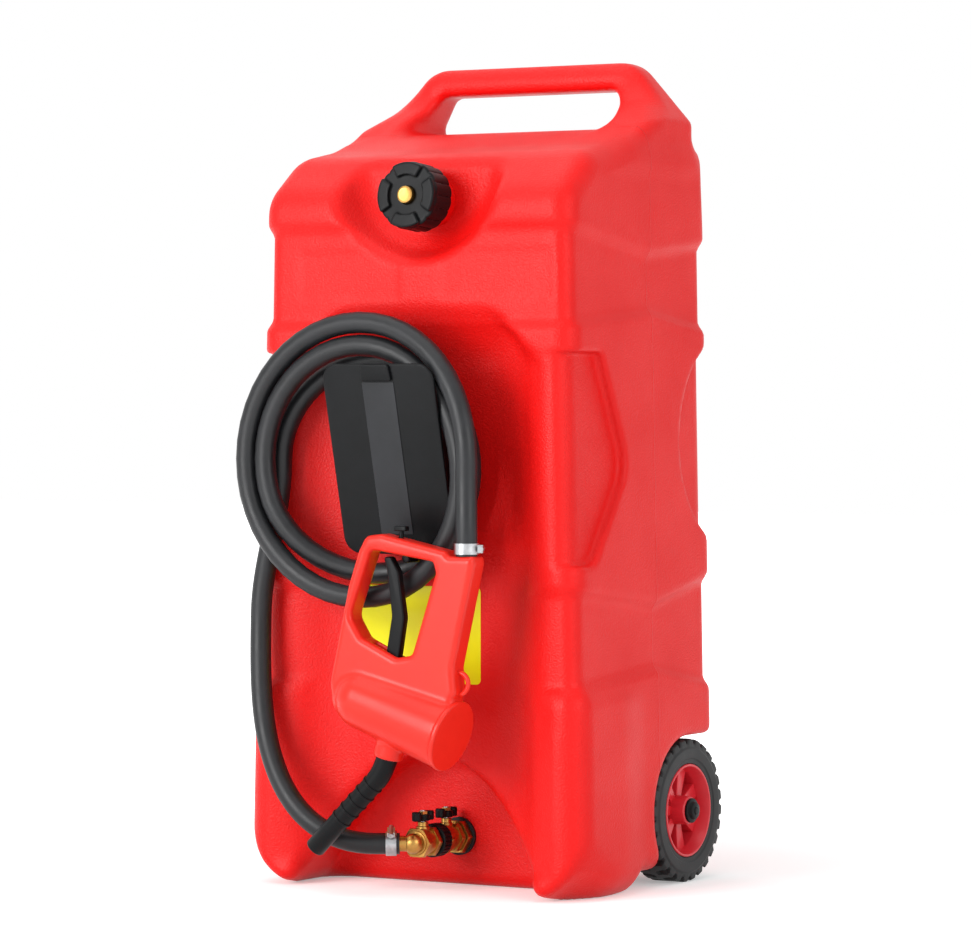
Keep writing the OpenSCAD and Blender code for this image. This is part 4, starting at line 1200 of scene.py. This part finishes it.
@dataclass
class Outlet:
    """Bulkhead fitting, two ball valves, the ring between them, levers and the turned barb."""

    x: float = 4.0
    y: float = -54.0
    z: float = 52.0
    valve_len: float = 30.0
    starts: Pair = (12.0, 58.0)
    stubs: tuple[Pair, Pair] = ((29.0, 37.0), (-7.0, 1.0))
    barrel_r: float = 13.5
    hex_r: float = 19.0
    boss: float = 21.0
    lever_hub: float = 7.0
    lever_bar: Pair = (3.6, 14.0)
    wing_at: float = 12.2
    wing_r: float = 5.2
    ribs: int = 24
    rib_deep: float = 1.3

    @property
    def frame(self) -> Frame:
        """The outlet's frame, whose w axis points out of the recess and v axis up."""
        return Frame.tipped((self.x, self.y, self.z), 90.0)

    def valve(self, start: float, stub: Pair) -> Shape:
        """A valve's body: barrel with two hexagons and a stub, and the boss round its stem."""
        r = self.barrel_r
        stop = start + self.valve_len
        barrel = lathe([(7.0, start, 0.0), (r - 1.0, start, 0.6), (r, start + 8.0, 1.5),
                        (r, stop - 8.0, 1.5), (r - 1.0, stop, 0.6), (7.0, stop, 0.0)], 72)
        parts = []
        for low in (start + 1.6, start + 21.4):
            high = low + 7.0
            profile = [(8.0, low, 0.0), (r + 2.0, low, 0.0), (r + 3.2, low + 1.4, 0.0),
                       (r + 3.2, high - 1.4, 0.0), (r + 2.0, high, 0.0), (8.0, high, 0.0)]
            parts.append(lathe(profile, 72, swell=six_sided(r + 3.2)))
        end = lathe([(7.0, stub[0], 0.0), (10.3, stub[0], 0.5), (10.3, stub[1], 0.5),
                     (7.0, stub[1], 0.0)], 64)
        boss = lathe([(3.1, 0.0, 0.0), (7.0, 0.0, 0.0), (7.0, self.boss - 5.0, 0.5),
                      (5.6, self.boss - 4.4, 0.5), (5.6, self.boss, 0.6), (3.1, self.boss, 0.0)], 48)
        upright = Frame((0.0, 0.0, start + self.valve_len / 2.0), (1.0, 0.0, 0.0), (0.0, 0.0, -1.0),
                        (0.0, 1.0, 0.0))
        return barrel.plus(end, boss.moved(upright), *parts)

    def lever(self, start: float) -> Field:
        """Field of a two-winged lever: hub, bar and an upright rounded wing at each end."""
        middle = start + self.valve_len / 2.0

        def lever_field(x: Array, y: Array, z: Array) -> Array:
            """Union of the hub, the bar and the wings."""
            u, v, w = self.frame.local(x, y, z)
            up = v - self.boss - 1.0
            along = w - middle
            hub = cut(np.hypot(u, along) - self.lever_hub, np.abs(up - 3.5) - 3.5, 1.2)
            plan = cut(np.abs(u) - self.lever_bar[0], np.abs(along) - self.lever_bar[1], 1.5)
            bar = cut(plan, np.abs(up - 3.4) - 2.6, 1.5)
            wing_plan = np.hypot(u, (np.abs(along) - self.wing_at) * 1.15) - self.wing_r
            wing = cut(wing_plan, np.abs(up - 5.0) - 4.8, 1.6)
            whole = join(join(hub, bar, 1.5), wing, 1.2)
            return np.maximum(whole, 3.05 - np.hypot(u, along))

        return lever_field

    def ring(self) -> Shape:
        """The coupling ring: a knurled barrel between two plain rims."""

        def knurl(radius: Array, height: Array, angle: Array) -> Array:
            """Ribs round the middle of the ring, eased out towards its rims."""
            rib = 0.5 - 0.5 * np.cos(angle * self.ribs)
            within = over(radius, (16.4, 0.6)) * ease((6.2 - np.abs(height - 50.0)) / 0.8)
            return radius - self.rib_deep * (1.0 - ease(rib * 1.6)) * within

        profile = [(10.7, 42.2, 0.0), (16.3, 42.2, 0.6), (17.5, 43.4, 0.6)]
        middle = [(17.5, h, 0.0) for h in np.linspace(44.5, 55.5, 9)]
        top = [(17.5, 56.6, 0.6), (16.3, 57.8, 0.6), (10.7, 57.8, 0.0)]
        return lathe(profile + middle + top, 240, swell=knurl)

    def build(self, shop: Workshop) -> None:
        """Makes the fitting, the valves, the ring and the levers."""
        place = self.frame
        corner = self.hex_r
        nut = [(10.4, 3.0, 0.0), (corner - 1.4, 3.0, 0.0), (corner, 4.6, 0.0), (corner, 10.4, 0.0),
               (corner - 1.4, 12.0, 0.0), (7.0, 12.0, 0.0), (7.0, -14.0, 0.0), (10.4, -14.0, 0.0)]
        hexagon = lathe(nut, 72, swell=six_sided(corner))
        shop.piece("bulkhead", hexagon.moved(place), "brass", Body.TANK, "outlet_fitting", crease=25.0)
        for end, start, (low, high) in zip(("tank", "hose"), self.starts, self.stubs):
            valve = self.valve(start, (start + low, start + high)).moved(place)
            shop.piece(f"valve_at_{end}", valve, "brass", Body.TANK, f"{end}_valve", crease=25.0)
        shop.piece("knurled_ring", self.ring().moved(place), "black_plastic", Body.RING, "coupling_ring")
        ends = (("tank", Body.TANK_HANDLE), ("hose", Body.HOSE_HANDLE))
        for start, (end, body) in zip(self.starts, ends):
            depth = self.y - start - self.valve_len / 2.0
            wings = skin(self.lever(start), (self.x - 10.0, depth - 21.0, 71.0),
                         (self.x + 10.0, depth + 21.0, 87.0), 0.9)
            shop.piece(f"lever_at_{end}", wings, "black_plastic", body, f"{end}_lever", crease=None)


# The nozzle


@dataclass
class Nozzle:
    """The hand nozzle: a two-part housing with a guard, pump housing, trigger, latch and spout."""

    plane_y: float = NOZZLE_Y
    half: float = 14.0
    edge_r: float = 6.5
    slot: Pair = (23.0, 249.0)
    slot_half: Triple = (26.0, 14.0, 5.4)
    collar: Pair = (30.0, 16.0)
    pump: Pair = (-14.0, 203.0)
    pump_tilt: float = -17.5
    pump_len: float = 106.0
    pump_r: Pair = (30.0, 36.0)
    bend: Pair = (10.0, 132.0)
    stub_way: Pair = (9.0, 33.0)
    spout_way: Pair = (-85.0, -83.0)
    spout_r: float = 10.5
    pivot: Pair = (20.0, 244.0)
    loop: Pair = (98.0, 224.0)
    bar_edge: tuple[Pair, Pair] = ((0.0, 357.0), (74.0, 346.0))
    latch_u: float = 30.0
    latch_gap: float = 0.6
    latch_r: float = 2.5
    stem_end: float = -34.0
    stem_head: float = -16.0
    stem_z: float = 234.0
    stem_travel: float = 4.5

    def __post_init__(self) -> None:
        """Works out the outlines of guard and trigger."""
        self.outer = rounded([(-30.0, 182.0, 12.0), (20.0, 164.0, 0.0), (80.0, 178.0, 0.0),
                              (100.0, 214.0, 8.0), (98.0, 240.0, 20.0), (122.0, 344.0, 6.0),
                              (121.0, 352.0, 3.0), (93.0, 352.0, 0.0), (88.0, 357.0, 4.0),
                              (12.0, 373.0, 8.0), (-6.0, 371.0, 10.0), (-15.0, 355.0, 12.0),
                              (-27.0, 320.0, 0.0), (-49.0, 222.0, 14.0), (-47.0, 198.0, 10.0)], 5)
        self.inner = rounded([(30.0, 248.0, 6.0), (49.0, 251.0, 8.0), (77.0, 335.0, 6.0),
                              (*self.bar_edge[1], 5.0), (*self.bar_edge[0], 7.0),
                              (-25.0, 289.0, 14.0), (-11.0, 267.0, 10.0)], 5)
        self.plane = Frame.tipped((0.0, self.plane_y, 0.0), 90.0)
        self.stub = unit(self.stub_way)
        self.way = unit(self.spout_way)
        tilt = math.radians(self.pump_tilt)
        self.pump_way = np.array([math.cos(tilt), math.sin(tilt)])

    def frame(self, origin: Array, way: Array) -> Frame:
        """A frame in the nozzle's plane whose w axis runs along a direction."""
        return Frame((origin[0], self.plane_y, origin[1]), (-way[1], 0.0, way[0]), (0.0, -1.0, 0.0),
                     (way[0], 0.0, way[1]))

    def pump_field(self, u: Array, v: Array, w: Array) -> Array:
        """Field of the pump housing: a cone with a round end, cut square at its wide end."""
        c, s = self.pump_way
        du = u - self.pump[0]
        dv = v - self.pump[1]
        along = du * c + dv * s
        across = np.hypot(dv * c - du * s, w)
        low, high = self.pump_r
        wide = low + (high - low) * np.clip(along / self.pump_len, 0.0, 1.0)
        return cut(np.hypot(np.minimum(along, 0.0), across) - wide, along - self.pump_len, 2.0)

    def field(self, x: Array, y: Array, z: Array) -> Array:
        """Field of the housing: guard plate with its opening, limb, pump housing and spout collar."""
        u, v, w = self.plane.local(x, y, z)
        plate = cut(outline_field(self.outer, u, v), np.abs(w) - self.half, self.edge_r)
        plate = cut(plate, -outline_field(self.inner, u, v), self.edge_r)
        whole = join(plate, self.pump_field(u, v, w), 5.0)
        stub = self.stub
        along = (u - self.bend[0]) * stub[0] + (v - self.bend[1]) * stub[1]
        across = np.hypot((u - self.bend[0]) * stub[1] - (v - self.bend[1]) * stub[0], w)
        collar = cut(across - self.spout_r - 4.5, np.abs(along - self.collar[0]) - self.collar[1], 2.0)
        long, high, deep = self.slot_half
        slot = np.maximum(np.abs(u - self.slot[0]) - long, np.abs(v - self.slot[1]) - high)
        slot = np.maximum(slot, np.abs(w) - deep)
        hole = np.maximum(np.hypot(u - self.latch_u, w) - self.latch_r - 0.7, 345.0 - v)
        return np.maximum(join(whole, collar, 4.0), -np.minimum(slot, hole))

    def spout(self) -> Shape:
        """The spout: a tube with raised rings, turned about its own axis."""
        r = self.spout_r
        profile = [(7.5, 14.0, 0.0), (r, 14.0, 0.0)]
        for ring in range(5):
            low = 19.0 + 13.0 * ring
            profile += [(r, low, 0.0), (r + 1.0, low + 0.4, 0.3), (r + 1.0, low + 2.6, 0.3),
                        (r, low + 3.0, 0.0)]
        profile += [(r, 117.5, 0.0), (r - 0.8, 119.0, 0.5), (7.5, 119.0, 0.0)]
        return turned(rounded(profile, 2), 48, True)

    def elbow(self) -> Shape:
        """The bend between collar and spout: a tube along an eased corner."""
        u = np.linspace(0.0, 1.0, 24)[:, None]
        start = np.array(self.bend) + self.stub * self.collar[0]
        stop = np.array(self.bend) + self.way * 14.5
        flat = start * (1.0 - u) ** 2 + 2.0 * np.array(self.bend) * u * (1.0 - u) + stop * u ** 2
        path = np.column_stack([flat[:, 0], np.full(24, self.plane_y), flat[:, 1]])
        return tube(path, self.spout_r + 0.6, 40, (0.0, 1.0, 0.0))

    def trigger(self) -> Shape:
        """The trigger: a bent bar on a round boss, with its heel below."""
        bar = rounded([(12.0, 240.0, 3.0), (28.0, 240.0, 3.0), (36.0, 288.0, 20.0), (29.0, 335.0, 8.0),
                       (20.0, 350.0, 3.0), (11.0, 350.0, 3.0), (15.0, 336.0, 6.0), (21.0, 290.0, 20.0)], 6)
        boss = circle(self.pivot, 9.0, 40)
        heel = rounded([(15.5, 229.0, 1.0), (24.5, 229.0, 1.0), (24.5, 241.0, 0.0), (15.5, 241.0, 0.0)], 3)
        return slab(bar, -5.0, 5.0, 2.2, 4).plus(slab(boss, -5.0, 5.0, 1.0), slab(heel, -5.0, 5.0, 0.8))

    def latch(self) -> Shape:
        """The latch: a pin through the top bar, with a flat thumb piece."""
        (near_u, near_v), (far_u, far_v) = self.bar_edge
        slope = (far_v - near_v) / (far_u - near_u)
        foot = near_v + (self.latch_u - near_u) * slope + self.latch_gap
        pin = circle((self.latch_u, 0.0), self.latch_r, 32)
        grid = np.stack([np.column_stack([pin[:, 0], self.plane_y + pin[:, 1], np.full(32, h)])
                         for h in (foot, foot + 8.0, 377.0)])
        thumb = rounded([(23.0, 376.0, 1.2), (37.0, 376.0, 1.2), (37.0, 381.0, 1.2),
                         (23.0, 381.0, 1.2)], 3)
        return rings(grid).plus(slab(thumb, -4.0, 4.0, 1.0).moved(self.plane))

    def stem_coil(self, shop: Workshop) -> None:
        """Makes the spring behind the valve's stem, at its resting length."""
        room = self.stem_head - self.stem_end
        foot = (self.stem_end, self.plane_y, self.stem_z)
        place = Frame(foot, (0.0, 1.0, 0.0), (0.0, 0.0, 1.0), (1.0, 0.0, 0.0))
        coil = spring(room - 0.1, 3.4, 0.5, 6).moved(place)
        piece = shop.piece("stem_coil", coil, "steel", Body.TANK, "stem_spring", crease=None)
        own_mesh(piece)

    def build(self, shop: Workshop) -> None:
        """Makes housing, lid, loop, trigger, latch, stem spring and spout."""
        housing = skin(self.field, (-58.0, -252.0, 140.0), (130.0, -168.0, 380.0), 1.9)
        ring = circle(self.loop, 11.0, 48)
        loop = np.column_stack([ring[:, 0], np.full(48, self.plane_y), ring[:, 1]])
        whole = housing.plus(tube(loop[::-1], 2.5, 16, (0.0, 1.0, 0.0), True))
        shop.piece("nozzle_housing", whole, "nozzle_red", Body.TANK, "nozzle_front", "nozzle_rear",
                   crease=None)
        lid_frame = self.frame(np.array(self.pump) + self.pump_len * self.pump_way, self.pump_way)
        lid = rounded([(0.5, -3.0, 0.0), (30.0, -3.0, 0.0), (30.5, -0.2, 0.0), (37.0, 0.0, 0.6),
                       (37.0, 4.0, 1.6), (30.0, 4.0, 0.0), (0.5, 4.0, 0.0)], 4, False)
        shop.piece("pump_lid", turned(lid, 80).moved(lid_frame), "nozzle_red", Body.TANK, "pump_cap")
        trigger = self.trigger().moved(self.plane)
        shop.piece("trigger_bar", trigger, "black_plastic", Body.TRIGGER, "trigger")
        shop.piece("latch_pin", self.latch(), "black_plastic", Body.LATCH, "trigger_latch")
        self.stem_coil(shop)
        spout = self.spout().moved(self.frame(self.bend, self.way))
        shop.piece("ringed_spout", spout, "black_plastic", Body.TANK, "spout")
        shop.piece("spout_bend", self.elbow(), "black_plastic", Body.TANK, "spout_elbow")


# The studio


@dataclass
class Studio:
    """Camera, soft lamps, white backdrop and the floor that takes the shadow."""

    azimuth: float = 31.0
    focal_px: float = 4322.0
    distance: float = 4.574
    height: float = 0.522
    horizon_px: float = 386.7
    origin_px: float = 488.0
    aim_y: float = 10.0
    sky: float = 0.6
    floor_reach: float = 12.0
    shadow_reach: Pair = (0.35, 1.5)
    shadow_glow: float = 0.32

    def camera(self) -> None:
        """Makes the camera at the photograph's angle."""
        data = bpy.data.cameras.new("view")
        data.sensor_width = 36.0
        data.lens = self.focal_px / IMAGE_WIDTH * 36.0
        data.clip_end = 60.0
        made = bpy.data.objects.new("view", data)
        turn = math.radians(self.azimuth)
        aim = (self.aim_y + FRAME_SHIFT) * MM
        made.location = (self.distance * math.sin(turn), aim - self.distance * math.cos(turn), self.height)
        pitch = math.atan((IMAGE_HEIGHT / 2.0 - self.horizon_px) / self.focal_px)
        yaw = math.atan((self.origin_px - IMAGE_WIDTH / 2.0) / self.focal_px)
        made.rotation_euler = (math.pi / 2.0 - pitch, 0.0, turn + yaw)
        bpy.context.scene.collection.objects.link(made)
        bpy.context.scene.camera = made

    @staticmethod
    def lamp(name: str, place: Triple, target: Triple, size: float, watts: float) -> None:
        """Makes one square softbox that faces its target."""
        data = bpy.data.lights.new(name, "AREA")
        data.shape = "SQUARE"
        data.size = size
        data.energy = watts
        made = bpy.data.objects.new(name, data)
        toward = np.array(target) - np.array(place)
        flat = math.hypot(toward[0], toward[1])
        made.location = place
        made.rotation_euler = (math.atan2(flat, -toward[2]), 0.0, math.atan2(-toward[0], toward[1]))
        bpy.context.scene.collection.objects.link(made)

    @staticmethod
    def seen_rays(tree: bpy.types.NodeTree) -> bpy.types.NodeSocket:
        """1 for rays from the camera, and for those that gloss or clear matter sends on."""
        path = add(tree, "ShaderNodeLightPath").outputs
        gloss = calc(tree, "MAXIMUM", path["Is Camera Ray"], path["Is Glossy Ray"])
        return calc(tree, "MAXIMUM", gloss, path["Is Transmission Ray"])

    def world(self) -> None:
        """White to the eye, and a soft grey light for the object."""
        world = bpy.data.worlds.new("studio")
        bpy.context.scene.world = world
        world.use_nodes = True
        tree = world.node_tree
        back = tree.nodes["Background"]
        back.inputs["Color"].default_value = linear("#FFFFFF")
        level = remap(tree, self.seen_rays(tree), (0.0, 1.0), (self.sky, 1.0))
        tree.links.new(level, back.inputs["Strength"])

    def floor(self) -> None:
        """A pale floor that keeps the shadow and fades to white."""
        mesh = bpy.data.meshes.new("floor")
        signs = ((-1, -1), (1, -1), (1, 1), (-1, 1))
        mesh.from_pydata([(self.floor_reach * a, self.floor_reach * b, 0.0) for a, b in signs], [],
                         [(0, 1, 2, 3)])
        made = bpy.data.objects.new("floor", mesh)
        bpy.context.scene.collection.objects.link(made)
        material = bpy.data.materials.new("pale_floor")
        material.use_nodes = True
        tree = material.node_tree
        shader = tree.nodes["Principled BSDF"]
        shader.inputs["Base Color"].default_value = linear("#F2F2F2")
        shader.inputs["Roughness"].default_value = 0.9
        shader.inputs["Specular IOR Level"].default_value = 0.0
        shader.inputs["Emission Color"].default_value = linear("#FFFFFF")
        coords = add(tree, "ShaderNodeTexCoord").outputs["Object"]
        away = add(tree, "ShaderNodeVectorMath", {0: coords}, operation="LENGTH")
        fade = remap(tree, away.outputs["Value"], self.shadow_reach, (self.shadow_glow, 1.0), True)
        glow = calc(tree, "MULTIPLY", self.seen_rays(tree), fade)
        tree.links.new(glow, shader.inputs["Emission Strength"])
        mesh.materials.append(material)

    def light(self) -> None:
        """Lamps: a wide one overhead, a key at the left front and a fill at the right."""
        self.world()
        self.lamp("overhead", (-0.3, -0.6, 2.6), (0.0, 0.0, 0.4), 2.2, 20.0)
        self.lamp("key", (-0.9, -2.95, 1.2), (0.0, 0.0, 0.45), 1.6, 79.0)
        self.lamp("fill", (2.8, -0.9, 1.3), (0.1, 0.1, 0.45), 1.5, 26.0)
        bpy.context.scene.view_settings.view_transform = "Standard"


KEPT_NODES = {
    "steel": ("axle", "washer_left", "washer_right", "hanger_screws", "tank_ball", "hose_ball",
              "lead_clamp", "tail_clamp", "hose_inlet", "nozzle_screws", "trigger_pin"),
    "brass": ("outlet_locknut", "tank_lever_nut", "hose_lever_nut", "hose_elbow", "valve_stem"),
    "seal_rubber": ("cap_gasket", "outlet_gasket", "coupling_washer"),
}


def main() -> None:
    logging.basicConfig(level=logging.INFO, format="%(name)s: %(message)s")
    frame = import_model()
    shop = Workshop(frame)
    studio = Studio()
    studio.camera()
    hose = FuelHose()
    hose_piece = hose.build(shop)
    TankShell().build(shop)
    for side in Side:
        Wheel(side).build(shop)
    FillerCap().build(shop)
    HoseHanger().build(shop)
    Label().build(shop)
    Outlet().build(shop)
    Nozzle().build(shop)
    shop.dress(KEPT_NODES)
    studio.floor()
    studio.light()


if __name__ == "__main__":
    main()
